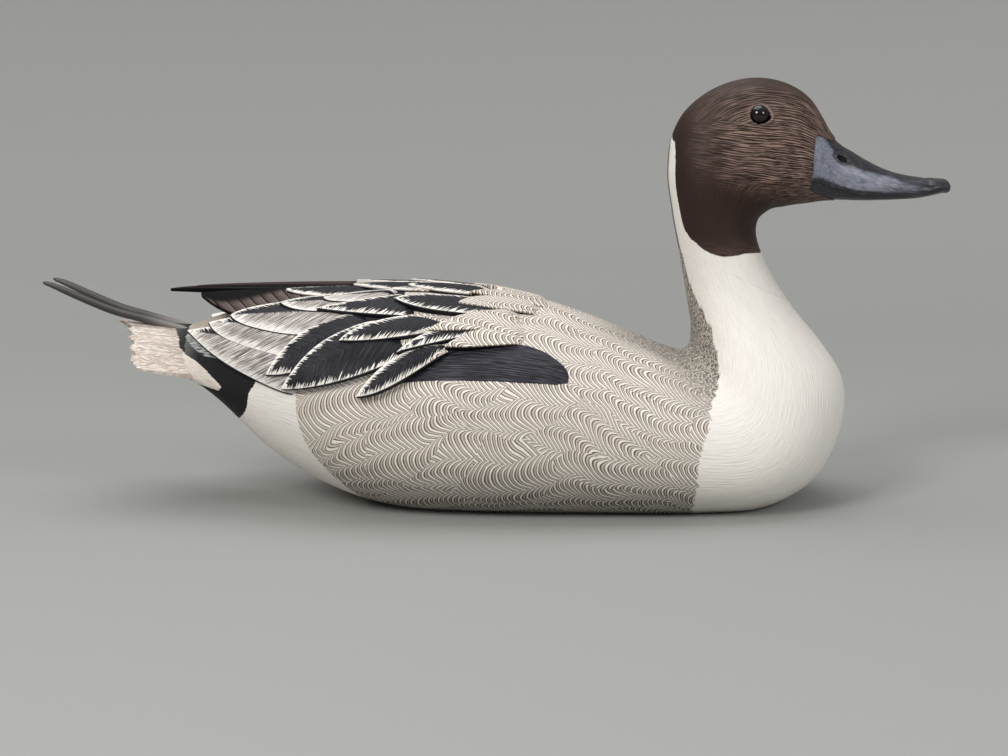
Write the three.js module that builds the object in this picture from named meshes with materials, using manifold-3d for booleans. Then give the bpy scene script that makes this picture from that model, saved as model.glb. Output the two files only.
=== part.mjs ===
// Drake pintail decoy: a carved and painted wooden duck that stands on its own flat underside.
// Millimetres, +Z up, bill toward +X, origin under the middle of the whole length.
import * as THREE from 'three'
import { mergeVertices } from 'three/addons/utils/BufferGeometryUtils.js'
import Module from 'manifold-3d'

const wasm = await Module()
wasm.setup()

// Driving dimensions
const GAP = 0.3
const SKIN_STATIONS = 64
const SKIN_ANGLES = 30
const WING_RINGS = 14
const WING_ARC_POINTS = 15
const EYE_RADIUS = 5.5
const EYE_FACETS = [16, 10]
const EYE_CENTRE = [135, 15, 198]
const NOSTRIL_CENTRE = [179, 9.2, 175.5]
const NOSTRIL_SIZE = [3, 2.4, 1.7]
const NOSTRIL_FACETS = [12, 8]
const NOSTRIL_TILT = 0.42
const FAN_HALF_WIDTH = 34
const FAN_DROOP = 21
const FAN_FEATHERS = 12
const FAN_NOTCH = 3
const FAN_REAR = [-191, 10]
const FAN_FRONT = -134
const FAN_RIDGE_HEIGHT = [92.5, 87.5]
const FAN_THICKNESS = [2.6, 7]
const FAN_EDGE_THINNING = 0.6
const SPRIG_HALF_WIDTH = 3.1
const SPRIG_HALF_HEIGHT = 2
const SPRIG_RINGS = 10
const SPRIG_SIDES = 8
const FEATHER_STEPS = 6
const FEATHER_DOME = 0.7
const FEATHER_TIP_WIDTH = 0.12
const LEFT_LONG_TIP_SHORTER = 13

// The carving follows two lines drawn on its side view, one along the back, nape, crown and top of
// the bill, one along the keel, breast, throat and underside of the bill. Each row is a station: the
// distance along the bird, then x and z.
const DORSAL = [
  [0, -172, 84.5], [25, -161, 87.5], [58, -130, 97], [104, -84, 105], [160, -28, 109],
  [190, 2, 107], [218, 30, 101.5], [242, 54, 93], [265, 76, 84], [280, 89, 78.5],
  [290, 96.5, 76.5], [300, 101, 79], [315, 102, 88], [340, 99.5, 104], [368, 95.5, 126],
  [394, 91, 149], [414, 88.5, 171], [425, 90, 185], [436, 96, 198], [447, 107, 208],
  [458, 120, 214], [470, 135, 216], [481, 149, 213], [491, 160, 206], [500, 167, 196],
  [508, 172, 187], [524, 184, 178], [546, 204, 168.4], [567, 225, 164.6], [576, 232.5, 162.2],
]
const VENTRAL = [
  [0, -168, 81], [25, -153, 71], [42, -136, 50], [58, -119, 30.5], [80, -97, 14.5], [104, -71, 3],
  [130, -44, -3], [160, -14, -4.5], [218, 50, -5.5], [260, 108, -5.5], [276, 132, -4], [290, 150, 2],
  [303, 166, 13], [315, 176, 29], [327, 181, 47], [340, 179.5, 64], [354, 169, 81],
  [368, 155, 98], [382, 144, 114], [394, 137.5, 126.5], [404, 134.3, 136.5], [414, 135, 144],
  [425, 139.5, 148.5], [447, 148.5, 151], [481, 161, 152.8], [508, 171.5, 154],
  [534, 193, 153.7], [557, 216, 155.4], [567, 225, 157.8], [576, 232, 161],
]
// Cross-sections: distance along the bird, half width, share of the height at which it is widest,
// roundness above and below that (2 is an ellipse, more is squarer), and droop of the sides.
const SECTION = [
  [0, 20, 0.5, 2, 2, 8], [25, 30, 0.5, 1.9, 1.8, 11], [42, 38.5, 0.5, 1.9, 1.9, 6],
  [58, 47, 0.5, 1.9, 2, 2], [80, 58, 0.5, 1.95, 2.1, 0], [104, 66.5, 0.48, 2, 2.2, 0],
  [130, 72, 0.46, 2, 2.3, 0], [160, 75.5, 0.45, 2, 2.4, 0], [190, 77, 0.45, 2, 2.4, 0],
  [230, 75, 0.44, 2, 2.4, 0], [265, 71, 0.43, 2, 2.3, 0], [290, 66, 0.43, 2, 2.2, 0],
  [310, 59, 0.44, 2, 2.1, 0], [327, 49, 0.46, 2, 2, 0], [340, 40, 0.48, 2, 2, 0],
  [354, 31, 0.5, 2, 2, 0], [368, 25.5, 0.5, 2, 2, 0], [394, 21.5, 0.5, 2, 2, 0],
  [425, 22, 0.46, 2, 2.1, 0], [450, 22, 0.42, 2, 2.2, 0], [481, 19, 0.4, 2, 2.3, 0],
  [500, 15, 0.42, 2, 2.3, 0], [510, 12.8, 0.42, 2, 2.4, 0], [524, 12, 0.38, 2, 2.6, 0],
  [546, 11.6, 0.35, 2, 2.6, 0], [560, 11.2, 0.35, 2, 2.4, 0], [570, 8, 0.4, 2, 2.2, 0],
  [576, 4, 0.5, 2, 2, 0],
]
// The folded wings and scapulars lie on a wider coat: x, top, bottom, half width, widest share of the
// height, roundness above and below.
const COAT = [
  [-175, 108.5, 60, 32, 0.5, 1.8, 2], [-160, 110, 50, 37, 0.5, 1.8, 2],
  [-140, 110.8, 38, 44.5, 0.5, 1.85, 2], [-120, 111.2, 26, 52, 0.5, 1.9, 2.05],
  [-100, 111.5, 14, 60.5, 0.49, 1.9, 2.1], [-80, 111.5, 5, 68, 0.48, 1.95, 2.2],
  [-60, 111.5, -2, 73, 0.47, 2, 2.3], [-30, 111, -5, 77, 0.46, 2, 2.4],
  [0, 108, -6, 78.5, 0.46, 2, 2.4], [30, 101.5, -6, 77.5, 0.45, 2, 2.4],
  [60, 91, -6, 75, 0.44, 2, 2.4],
]
// Lower edge of the wing mass under the feathers: x, angle round from the middle of the back, and how
// far its surface is sunk under the coat, so that it runs out into the back in front.
const WING_EDGE = [
  [-128, 52, 1], [-118, 68, 0.6], [-100, 80, 0.4], [-80, 79, 0.4], [-60, 74, 0.5],
  [-40, 67, 0.7], [-10, 52, 1.2], [15, 36, 3],
]
// Feathers of one wing, rear ones first. Every place is an x and an angle round from the middle of
// the back: the tip, then the bend and the root end of the upper edge, then those of the lower edge.
// The last values are the rise over the coat and the depth below it, each at the root and the tip.
const FEATHERS = [
  { name: 'long_primary', tip: [-167, 5], upper: [[-150, 0.5], [-95, 0.5]],
    lower: [[-158, 13], [-95, 15]], rise: [0, 0], depth: [5, 1.6] },
  { name: 'short_primary', tip: [-150, 17], upper: [[-135, 10], [-95, 8]],
    lower: [[-141, 36], [-95, 52]], rise: [-1, -1.6], depth: [6, 3.4] },
  { name: 'tertial_1', tip: [-152, 61], upper: [[-121, 43], [-90, 45]],
    lower: [[-130, 98], [-88, 86]], rise: [-0.6, 0.9], depth: [3.6, 1.7] },
  { name: 'tertial_2', tip: [-142, 53], upper: [[-117, 38], [-90, 40]],
    lower: [[-137, 77], [-86, 64]], rise: [-0.2, 1.5], depth: [3.2, 1] },
  { name: 'tertial_3', tip: [-131, 43], upper: [[-128, 34], [-80, 19]],
    lower: [[-126, 60], [-76, 46]], rise: [0.1, 2], depth: [3, 0.4] },
  { name: 'cape_1', tip: [-105, 20], upper: [[-107, 14], [-55, 5]],
    lower: [[-97, 29], [-55, 19]], rise: [0.2, 1.9], depth: [4.5, 3] },
  { name: 'tertial_4', tip: [-107, 34], upper: [[-98, 25], [-66, 18]],
    lower: [[-100, 43], [-62, 32]], rise: [0.6, 2.5], depth: [4.5, 3] },
  { name: 'scapular_1', tip: [-111, 82], upper: [[-97, 38], [-54, 32]],
    lower: [[-100, 79], [-53, 45]], rise: [0.2, 1.9], depth: [4.5, 3] },
  { name: 'scapular_2', tip: [-103, 87], upper: [[-87, 44], [-46, 37]],
    lower: [[-74, 75], [-33, 54]], rise: [0.5, 2.4], depth: [4.5, 3] },
  { name: 'scapular_3', tip: [-88, 37], upper: [[-71, 27], [-37, 17]],
    lower: [[-69, 38], [-33, 37]], rise: [0.9, 2.9], depth: [4.5, 3] },
  { name: 'scapular_4', tip: [-75, 55], upper: [[-65, 38], [-29, 33]],
    lower: [[-61, 54], [-26, 45]], rise: [1, 3.1], depth: [4.5, 3] },
  { name: 'scapular_5', tip: [-66, 80], upper: [[-53, 56], [-30, 50]],
    lower: [[-50, 77], [-21, 50]], rise: [0.4, 2.3], depth: [4.5, 3] },
  { name: 'scapular_6', tip: [-50, 26], upper: [[-42, 17], [-16, 21]],
    lower: [[-37, 35], [-16, 34]], rise: [0.8, 3], depth: [4.5, 3] },
  { name: 'scapular_7', tip: [-47, 58], upper: [[-31, 39], [-6, 37]],
    lower: [[-29, 51], [-2, 43]], rise: [0.4, 2.7], depth: [4.5, 3] },
]
// Middle line of a tail sprig, from its root in the rump to its free tip.
const SPRIG_LINE = [
  [-150, 6, 85.5], [-160, 6.3, 88.6], [-170, 6.8, 91.2], [-182, 7.6, 94.5], [-195, 8.6, 98.2],
  [-208, 9.4, 103.6], [-220, 10, 109], [-227, 10.3, 112], [-232, 10.5, 113.2],
]
// How far along the sprig, and its share of the full section there.
const SPRIG_SHARE = [[0, 0.6], [0.25, 0.95], [0.5, 1], [0.75, 0.85], [0.9, 0.5], [1, 0.2]]

const BODY_GREY = 0xa9a294
const GLASS_BLACK = 0x0b0a0a
const SPRIG_BROWN = 0x4b4541

// Smooth curve through rows whose first value is the distance: gives the other values at a distance.
function through(rows, distance) {
  const last = rows.length - 2
  let i = 0
  while (i < last && distance > rows[i + 1][0]) i += 1
  const slope = (j, k) => {
    const run = (row) => (rows[row + 1][k] - rows[row][k]) / (rows[row + 1][0] - rows[row][0])
    if (j === 0) return run(0)
    if (j === rows.length - 1) return run(j - 1)
    const before = rows[j][0] - rows[j - 1][0]
    const after = rows[j + 1][0] - rows[j][0]
    return (run(j - 1) * after + run(j) * before) / (before + after)
  }
  const step = rows[i + 1][0] - rows[i][0]
  const q = (distance - rows[i][0]) / step
  return rows[i].slice(1).map((value, column) => {
    const k = column + 1
    const near = (2 * q ** 3 - 3 * q ** 2 + 1) * value + (q ** 3 - 2 * q ** 2 + q) * step * slope(i, k)
    const far = (3 * q ** 2 - 2 * q ** 3) * rows[i + 1][k] + (q ** 3 - q ** 2) * step * slope(i + 1, k)
    return near + far
  })
}

// Point of a squared ellipse: the angle runs from the middle of the back (0) round to the keel (180).
// Gives the sideways place as a share of the half width and the height as a share of the height.
function around(degrees, widest, roundTop, roundBottom) {
  const angle = THREE.MathUtils.degToRad(degrees)
  const up = Math.cos(angle)
  const out = Math.sin(angle)
  const power = 2 / (up > 0 ? roundTop : roundBottom)
  const reach = up > 0 ? 1 - widest : widest
  return [Math.sign(out) * Math.abs(out) ** power, widest + Math.sign(up) * reach * Math.abs(up) ** power]
}

// Surface of the bird itself.
function skin(station, degrees) {
  const [backX, backZ] = through(DORSAL, station)
  const [keelX, keelZ] = through(VENTRAL, station)
  const [width, widest, roundTop, roundBottom, droop] = through(SECTION, station)
  const [side, height] = around(degrees, widest, roundTop, roundBottom)
  const z = keelZ + (backZ - keelZ) * height - droop * side * side
  return new THREE.Vector3(keelX + (backX - keelX) * height, width * side, Math.max(z, 0))
}

// Surface that the wing feathers lie on, raised by lift along its own normal.
function coat(x, degrees, lift) {
  const place = (px, pa) => {
    const [top, bottom, width, widest, roundTop, roundBottom] = through(COAT, px)
    const [side, height] = around(pa, widest, roundTop, roundBottom)
    return new THREE.Vector3(px, width * side, bottom + (top - bottom) * height)
  }
  const point = place(x, degrees)
  const along = place(x + 1, degrees).sub(place(x - 1, degrees))
  const round = place(x, degrees + 1).sub(place(x, degrees - 1))
  return point.addScaledVector(along.cross(round).normalize(), lift)
}

// Closed surface from rings of points, each ring going the same way round, with fans over both ends.
function ringSolid(rings) {
  const count = rings[0].length
  const points = rings.flat()
  const faces = []
  for (let i = 0; i < rings.length - 1; i += 1) {
    for (let j = 0; j < count; j += 1) {
      const a = i * count + j
      const b = i * count + ((j + 1) % count)
      faces.push(a, b, b + count, a, b + count, a + count)
    }
  }
  for (const [ring, start, turn] of [[rings[0], 0, 1], [rings.at(-1), points.length - count, 0]]) {
    const middle = ring.reduce((sum, p) => sum.add(p), new THREE.Vector3()).divideScalar(count)
    const centre = points.push(middle) - 1
    for (let j = 0; j < count; j += 1) {
      const a = start + j
      const b = start + ((j + 1) % count)
      faces.push(centre, turn ? b : a, turn ? a : b)
    }
  }
  const geometry = new THREE.BufferGeometry().setFromPoints(points)
  geometry.setIndex(faces)
  return geometry
}

// Solids for joining and cutting; a piece built inside out is turned the right way.
function solid(geometry) {
  const bare = geometry.clone()
  bare.deleteAttribute('normal')
  bare.deleteAttribute('uv')
  const merged = mergeVertices(bare, 1e-4)
  const vertProperties = new Float32Array(merged.attributes.position.array)
  const triVerts = new Uint32Array(merged.index.array)
  const made = new wasm.Manifold(new wasm.Mesh({ numProp: 3, vertProperties, triVerts }))
  if (made.volume() > 0) return made
  for (let i = 0; i < triVerts.length; i += 3) {
    const keep = triVerts[i]
    triVerts[i] = triVerts[i + 1]
    triVerts[i + 1] = keep
  }
  return new wasm.Manifold(new wasm.Mesh({ numProp: 3, vertProperties, triVerts }))
}

function geometryOf(shape) {
  const mesh = shape.getMesh()
  const geometry = new THREE.BufferGeometry()
  geometry.setAttribute('position', new THREE.BufferAttribute(new Float32Array(mesh.vertProperties), 3))
  geometry.setIndex(new THREE.BufferAttribute(new Uint32Array(mesh.triVerts), 1))
  geometry.computeVertexNormals()
  return geometry
}

// Evenly spaced values, both ends included.
function spread(count, from, to) {
  return Array.from({ length: count }, (_, i) => from + ((to - from) * i) / (count - 1))
}

// Body, neck, head and bill in one.
function bodyShape() {
  const stations = spread(SKIN_STATIONS, DORSAL[0][0], DORSAL.at(-1)[0])
  const step = 360 / SKIN_ANGLES
  const angles = spread(SKIN_ANGLES, -180 + step / 2, 180 - step / 2)
  return ringSolid(stations.map((station) => angles.map((angle) => skin(station, angle))))
}

// Thickness of both folded wings, under their feathers.
function wingMass() {
  const places = spread(WING_RINGS, WING_EDGE[0][0], WING_EDGE.at(-1)[0])
  return ringSolid(places.map((x) => {
    const [edge, sunk] = through(WING_EDGE, x)
    return spread(WING_ARC_POINTS, -edge, edge).map((angle) => coat(x, angle, -sunk))
  }))
}

// Drooping tail fan, laid out across its width, with one notch between each two feathers.
function tailFan() {
  const across = spread(2 * FAN_FEATHERS + 1, -1, 1)
  return ringSolid(across.map((share, i) => {
    const drop = FAN_DROOP * share * share
    const rear = FAN_REAR[0] + FAN_REAR[1] * Math.abs(share) + (i % 2 === 0 ? FAN_NOTCH : 0)
    const rows = [0, 0.5, 1].map((q) => {
      const x = rear + (FAN_FRONT - rear) * q
      const top = FAN_RIDGE_HEIGHT[0] + (FAN_RIDGE_HEIGHT[1] - FAN_RIDGE_HEIGHT[0]) * q - drop
      const thickness = FAN_THICKNESS[0] + (FAN_THICKNESS[1] - FAN_THICKNESS[0]) * q
      return [x, top, top - thickness * (1 - FAN_EDGE_THINNING * share * share)]
    })
    const y = FAN_HALF_WIDTH * share
    const over = rows.map(([x, top]) => new THREE.Vector3(x, y, top))
    const under = rows.map(([x, , low]) => new THREE.Vector3(x, y, low)).reverse()
    return [...over, ...under]
  }))
}

// Point of a feather's edge, which leaves the tip toward the bend and ends at the root.
function edgePoint(tip, [bend, root], t) {
  const [a, b, c] = [tip, bend, root].map((place) => new THREE.Vector2(...place))
  return new THREE.QuadraticBezierCurve(a, b, c).getPoint(t)
}

// One feather on the coat: its top runs from the lower edge over a slight dome to the upper edge.
function feather({ tip, upper, lower, rise, depth }, side, shorter) {
  const rings = spread(FEATHER_STEPS, 1, FEATHER_TIP_WIDTH).map((t) => {
    const high = edgePoint(tip, upper, t)
    const low = edgePoint(tip, lower, t)
    const lift = rise[1] + (rise[0] - rise[1]) * t
    const sunk = depth[1] + (depth[0] - depth[1]) * t
    const place = (v, up) => {
      const p = low.clone().lerp(high, v)
      return coat(p.x + shorter * (1 - t), side * p.y, up)
    }
    const over = [0, 0.5, 1].map((v) => place(v, lift + FEATHER_DOME * (v === 0.5 ? 1 : 0)))
    const under = [1, 0.5, 0].map((v) => place(v, -sunk))
    return [...over, ...under]
  })
  return ringSolid(rings)
}

// Slender tail feather of oval section; grown by the gap it becomes the cutter of its own seat.
function sprig(side, grown) {
  const line = new THREE.CatmullRomCurve3(SPRIG_LINE.map(([x, y, z]) => new THREE.Vector3(x, side * y, z)))
  const rings = spread(SPRIG_RINGS, 0, 1).map((t) => {
    const [share] = through(SPRIG_SHARE, t)
    const middle = line.getPoint(t)
    const ahead = line.getTangent(t)
    middle.addScaledVector(ahead, grown * (2 * t - 1))
    const across = new THREE.Vector3(0, 1, 0)
    const up = new THREE.Vector3().crossVectors(ahead, across).normalize()
    return spread(SPRIG_SIDES + 1, 0, 2 * Math.PI).slice(1).map((angle) => middle.clone()
      .addScaledVector(across, Math.cos(angle) * (SPRIG_HALF_WIDTH * share + grown))
      .addScaledVector(up, Math.sin(angle) * (SPRIG_HALF_HEIGHT * share + grown)))
  })
  return ringSolid(rings)
}

// Eyeball, or the cutter of its socket.
function ball(radius, side) {
  const [x, y, z] = EYE_CENTRE
  return new THREE.SphereGeometry(radius, ...EYE_FACETS).rotateX(Math.PI / 2).translate(x, side * y, z)
}

// Cutter of one nostril, an oval pit that slopes with the top of the bill.
function nostril(side) {
  const [x, y, z] = NOSTRIL_CENTRE
  const pit = new THREE.SphereGeometry(1, ...NOSTRIL_FACETS).scale(...NOSTRIL_SIZE)
  return pit.rotateY(NOSTRIL_TILT).translate(x, side * y, z)
}

// The whole wooden bird: everything joined, then eye sockets, nostrils and sprig seats cut out.
function carvingGeometry() {
  let shape = solid(bodyShape()).add(solid(wingMass())).add(solid(tailFan()))
  for (const side of [-1, 1]) {
    for (const row of FEATHERS) {
      const shorter = row.name === 'long_primary' && side > 0 ? LEFT_LONG_TIP_SHORTER : 0
      shape = shape.add(solid(feather(row, side, shorter)))
    }
    shape = shape.subtract(solid(ball(EYE_RADIUS + GAP, side)))
    shape = shape.subtract(solid(nostril(side)))
    shape = shape.subtract(solid(sprig(side, GAP)))
  }
  return geometryOf(shape)
}

function mesh(name, geometry, color, roughness) {
  const made = new THREE.Mesh(geometry, new THREE.MeshStandardMaterial({ color, roughness, metalness: 0 }))
  made.name = name
  return made
}

const group = new THREE.Group()
group.add(mesh('carving', carvingGeometry(), BODY_GREY, 0.6))
for (const [word, side] of [['right', -1], ['left', 1]]) {
  group.add(mesh(`eye_${word}`, ball(EYE_RADIUS, side), GLASS_BLACK, 0.05))
  group.add(mesh(`tail_sprig_${word}`, geometryOf(solid(sprig(side, 0))), SPRIG_BROWN, 0.5))
}

export default group
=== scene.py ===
"""Drake pintail decoy, carved and painted: its skin, feathers, bill, eyes and tail, with their finishes."""

import math

import bpy
import numpy as np
from bpy.props import FloatProperty, FloatVectorProperty, PointerProperty
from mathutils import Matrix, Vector


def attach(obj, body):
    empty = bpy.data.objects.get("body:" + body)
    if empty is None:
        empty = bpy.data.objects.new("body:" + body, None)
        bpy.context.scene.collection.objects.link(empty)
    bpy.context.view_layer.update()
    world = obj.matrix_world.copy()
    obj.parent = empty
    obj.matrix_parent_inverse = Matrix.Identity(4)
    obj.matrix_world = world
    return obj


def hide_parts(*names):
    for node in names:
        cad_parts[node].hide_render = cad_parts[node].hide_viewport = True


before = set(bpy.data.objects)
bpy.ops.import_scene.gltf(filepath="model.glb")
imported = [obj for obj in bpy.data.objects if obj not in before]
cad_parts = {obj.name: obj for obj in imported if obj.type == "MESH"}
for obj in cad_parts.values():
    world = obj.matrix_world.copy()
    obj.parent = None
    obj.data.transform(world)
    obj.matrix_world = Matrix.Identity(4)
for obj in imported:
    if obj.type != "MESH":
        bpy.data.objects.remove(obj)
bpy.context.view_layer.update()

bl_info = {
    "name": "Pintail carving",
    "version": (1, 0, 0),
    "blender": (4, 5, 0),
    "location": "3D View > Sidebar > Pintail",
    "description": "Builds a carved and painted drake pintail over its packed solids",
    "category": "Add Mesh",
}

MM = 0.001
SIDES = ((-1, "right"), (1, "left"))  # sign of y; the bird's right side faces the camera


def linear(code):
    """Turns an sRGB hex colour into linear red, green, blue and an opaque fourth value."""
    shares = [int(code[i : i + 2], 16) / 255 for i in (1, 3, 5)]
    lit = [s / 12.92 if s <= 0.04045 else ((s + 0.055) / 1.055) ** 2.4 for s in shares]
    return (*lit, 1.0)


def colour(name, description, code):
    """A colour in the sidebar, given as sRGB hex."""
    return FloatVectorProperty(
        name=name, description=description, subtype="COLOR", size=4, min=0, max=1, default=linear(code)
    )


def length(name, description, metres):
    """A length in the sidebar."""
    return FloatProperty(
        name=name, description=description, subtype="DISTANCE", unit="LENGTH", default=metres, min=0
    )


class PintailSizes(bpy.types.PropertyGroup):
    """Sizes of the carved detail."""

    vermiculation_pitch: length("Line spacing", "From one raised line of the flank to the next", 0.00285)
    vermiculation_row: length("Row height", "Height of one row of arcs on the flank", 0.0108)
    vermiculation_depth: length("Line depth", "How far the flank lines stand up", 0.00034)
    barb_depth: length("Stroke depth", "Depth of the carved barb strokes", 0.00018)
    fringe: length("White fringe", "Mean width of the white feather edges", 0.0034)
    lid: length("Eyelid", "Distance of the eyelid's ridge from the middle of the eye", 0.0052)
    lip: length("Feather lip", "How far the face stands over the bill", 0.0006)
    mouth: length("Mouth line", "Depth of the line between the two halves of the bill", 0.0007)


class PintailPaints(bpy.types.PropertyGroup):
    """Colours of the paints."""

    white: colour("White", "Neck, breast and rear flank", "#f1ece5")
    cream: colour("Cream", "Raised lines of the flanks and back", "#fdf5eb")
    ground: colour("Ground", "Between the raised lines", "#a19489")
    # The hairline also serves as painted shadow beside each raised line.
    hairline: colour("Hairline", "Deepest lines of the flanks", "#4a4038")
    nape: colour("Nape grey", "Granular stripe behind the neck", "#5c5a57")
    brown: colour("Head brown", "Head and upper neck", "#2f1f19")
    dry_brush: colour("Dry-brushed brown", "Tops of the head's barbs", "#a08478")
    black: colour("Blue black", "Black feathers and rump", "#17161a")
    # Feather grey is painted sheen: streaks of painted highlight along the barbs of the black feathers and
    # patch.
    sheen: colour("Feather grey", "Fine barbs in the black feathers", "#595865")
    streak: colour("Streak grey", "Streaked half of the tertials", "#8b8480")
    primary: colour("Primary brown", "Long wing feathers", "#41332f")
    fan: colour("Tail cream", "Tail fan", "#cfc2b7")
    # Tail blush is painted shade in the barbs of the tail fan and the outer tail feather.
    blush: colour("Tail blush", "Shaded barbs of the tail fan", "#ab9a8e")
    sprig: colour("Sprig brown", "Long middle tail feathers", "#35312f")
    bill: colour("Bill blue grey", "Sides of the bill", "#72757f")
    bill_dark: colour("Bill slate", "Ridge, underside and nail of the bill", "#26262b")
    floor: colour("Floor", "Studio floor", "#9c9d9a")


# Two lines drawn on the bird's side view carry its sections: one along the back, nape, crown and top of
# the bill, one along the keel, breast, throat and underside of the bill. Each row is a station: the
# distance along the bird, then x and z, in millimetres.
DORSAL = np.array([
    [0, -172, 84.5], [25, -161, 88.5], [58, -130, 98.5], [104, -84, 105], [160, -28, 109],
    [190, 2, 107], [218, 30, 101.5], [242, 54, 93], [265, 76, 84], [280, 89, 78.5],
    [290, 96.5, 76.5], [300, 101, 79], [315, 102, 88], [340, 99.5, 104], [368, 95.5, 126],
    [394, 91, 149], [414, 88.5, 171], [425, 90, 185], [436, 96, 198], [447, 107, 208],
    [458, 120, 214], [470, 135, 216], [481, 149, 213], [491, 160, 206], [500, 167, 196],
    [508, 172, 187], [524, 184, 178], [546, 204, 168.4], [560, 217.5, 165.9], [567, 224.5, 165.2],
    [572, 229.3, 164.9],
])  # fmt: skip
VENTRAL = np.array([
    [0, -168, 81], [25, -153, 71], [42, -136, 50], [58, -119, 30.5], [80, -97, 14.5], [104, -71, 3],
    [130, -44, -3], [160, -14, -4.5], [218, 50, -5.5], [260, 108, -5.5], [276, 132, -4], [290, 150, 2],
    [303, 166, 13], [315, 176, 29], [327, 181, 47], [340, 179.5, 64], [354, 169, 81],
    [368, 155, 98], [382, 144, 114], [394, 137.5, 126.5], [404, 134.3, 136.5], [414, 135, 144],
    [425, 139.5, 148.5], [447, 148.5, 151], [481, 161, 152.8], [508, 171.5, 154],
    [534, 193, 153.7], [557, 216, 155.2], [567, 225, 157], [572, 229.3, 157.9],
])  # fmt: skip
# Cross-sections: distance along the bird, half width, share of the height at which it is widest,
# roundness above and below that (2 is an ellipse, more is squarer), and droop of the sides.
SECTION = np.array([
    [0, 20, 0.5, 2, 2, 8], [25, 30, 0.5, 1.9, 1.8, 11], [42, 38.5, 0.5, 1.9, 1.9, 6],
    [58, 47, 0.5, 1.9, 2, 2], [80, 58, 0.5, 1.95, 2.1, 0], [104, 66.5, 0.48, 2, 2.2, 0],
    [130, 72, 0.46, 2, 2.3, 0], [160, 75.5, 0.45, 2, 2.4, 0], [190, 77, 0.45, 2, 2.4, 0],
    [230, 75, 0.44, 2, 2.4, 0], [265, 71, 0.43, 2, 2.3, 0], [290, 66, 0.43, 2, 2.2, 0],
    [310, 59, 0.44, 2, 2.1, 0], [327, 49, 0.46, 2, 2, 0], [340, 40, 0.48, 2, 2, 0],
    [354, 31, 0.5, 2, 2, 0], [368, 25.5, 0.5, 2, 2, 0], [394, 21.5, 0.5, 2, 2, 0],
    [425, 22, 0.46, 2, 2.1, 0], [450, 22, 0.42, 2, 2.2, 0], [481, 19, 0.4, 2, 2.3, 0],
    [500, 15, 0.42, 2, 2.3, 0], [510, 12.8, 0.42, 2, 2.4, 0], [524, 12, 0.38, 2, 2.6, 0],
    [546, 11.6, 0.35, 2, 2.6, 0], [560, 11.2, 0.35, 2, 2.4, 0], [568, 9.6, 0.4, 2, 2.2, 0],
    [572, 8, 0.45, 2, 2, 0],
])  # fmt: skip
# The folded wings and scapulars lie on a wider coat: x, top, bottom, half width, widest share of the
# height, roundness above and below.
COAT = np.array([
    [-175, 108.5, 60, 32, 0.5, 1.8, 2], [-160, 110, 50, 37, 0.5, 1.8, 2],
    [-140, 110.8, 38, 44.5, 0.5, 1.85, 2], [-120, 111.2, 26, 52, 0.5, 1.9, 2.05],
    [-100, 111.5, 14, 60.5, 0.49, 1.9, 2.1], [-80, 111.5, 5, 68, 0.48, 1.95, 2.2],
    [-60, 111.5, -2, 73, 0.47, 2, 2.3], [-30, 111, -5, 77, 0.46, 2, 2.4],
    [0, 108, -6, 78.5, 0.46, 2, 2.4], [30, 101.5, -6, 77.5, 0.45, 2, 2.4],
    [60, 91, -6, 75, 0.44, 2, 2.4],
])  # fmt: skip
# Lower edge of the wing mass: x, angle round from the middle of the back, depth under the coat.
WING_EDGE = np.array([
    [-128, 52, 1], [-118, 68, 0.6], [-100, 78, 0.5], [-80, 73, 0.6], [-60, 66.5, 0.7],
    [-40, 60, 0.8], [-10, 50, 1.2], [15, 36, 3],
])  # fmt: skip

# Paint borders: angle round from the middle of the back (0) to the keel (180), and the station there.
BROWN_ENDS = np.array([
    [0, 427], [12, 425], [21.5, 423.5], [27, 418], [29.5, 410], [30.5, 400], [32.5, 391],
    [38.5, 384.5], [49, 381.5], [57, 379.7], [65, 379.5], [77.5, 380.5], [98.5, 385],
    [117, 389.5], [158, 394.5], [180, 396],
])  # fmt: skip
WHITE_STARTS = np.array([
    [0, 427], [5.5, 423], [9, 410], [10, 385], [13, 368], [15.5, 360], [24, 343.5], [33.5, 329],
    [38, 316], [43, 303.5], [49.5, 293.5], [57.5, 285], [70.5, 277], [81.5, 270], [94.5, 263.5],
    [112, 260], [133.5, 256], [180, 254],
])  # fmt: skip
BLACK_ENDS = np.array([[0, 70], [50, 66], [78, 67], [89.5, 62], [101, 59.5], [127, 52], [180, 46]])
GREY_STARTS = np.array([
    [0, 84], [60, 86], [81.5, 87], [91.5, 86], [103, 86.5], [113, 88.5], [125.5, 94],
    [137.5, 101], [145.5, 105], [180, 112],
])  # fmt: skip
BILL_STARTS = np.array([
    [0, 509], [31, 508], [57, 499.5], [70, 490], [76, 489], [87.5, 487], [102.5, 485],
    [120.5, 481.5], [132, 480.5], [138, 484], [145.5, 494], [157, 507], [180, 512],
])  # fmt: skip
# Outlines by station and angle: the black patch low on the side of the wing, the outer tail feather that
# ends on the side of the rump, the pale streaked feathers above it, and the cream top of the rump.
PATCH = np.array([
    [120, 72], [143.5, 64.5], [152, 56], [161.5, 51], [169, 48.5], [176.5, 47], [188.5, 46.5],
    [202.5, 46.5], [209.5, 48.5], [214.5, 51.5], [217.5, 54], [219, 58], [218, 62.5], [211.5, 64.5],
    [195.5, 65.8], [176.5, 66.5], [157.5, 67], [143.5, 68],
])  # fmt: skip
OUTER_FEATHER = np.array([
    [18, 40], [25.5, 46.5], [32.5, 59.5], [36, 64.5], [40.5, 74.5], [43.5, 82.5], [47.5, 92], [45.5, 99],
    [38, 102], [26, 104], [12, 100], [8, 60],
])  # fmt: skip
PALE_FEATHERS = np.array([
    [27, 22], [30, 33.5], [33, 44], [37, 53], [41, 60], [48.5, 63], [44, 55], [40.5, 48], [36, 38], [33, 30],
])  # fmt: skip
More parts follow.
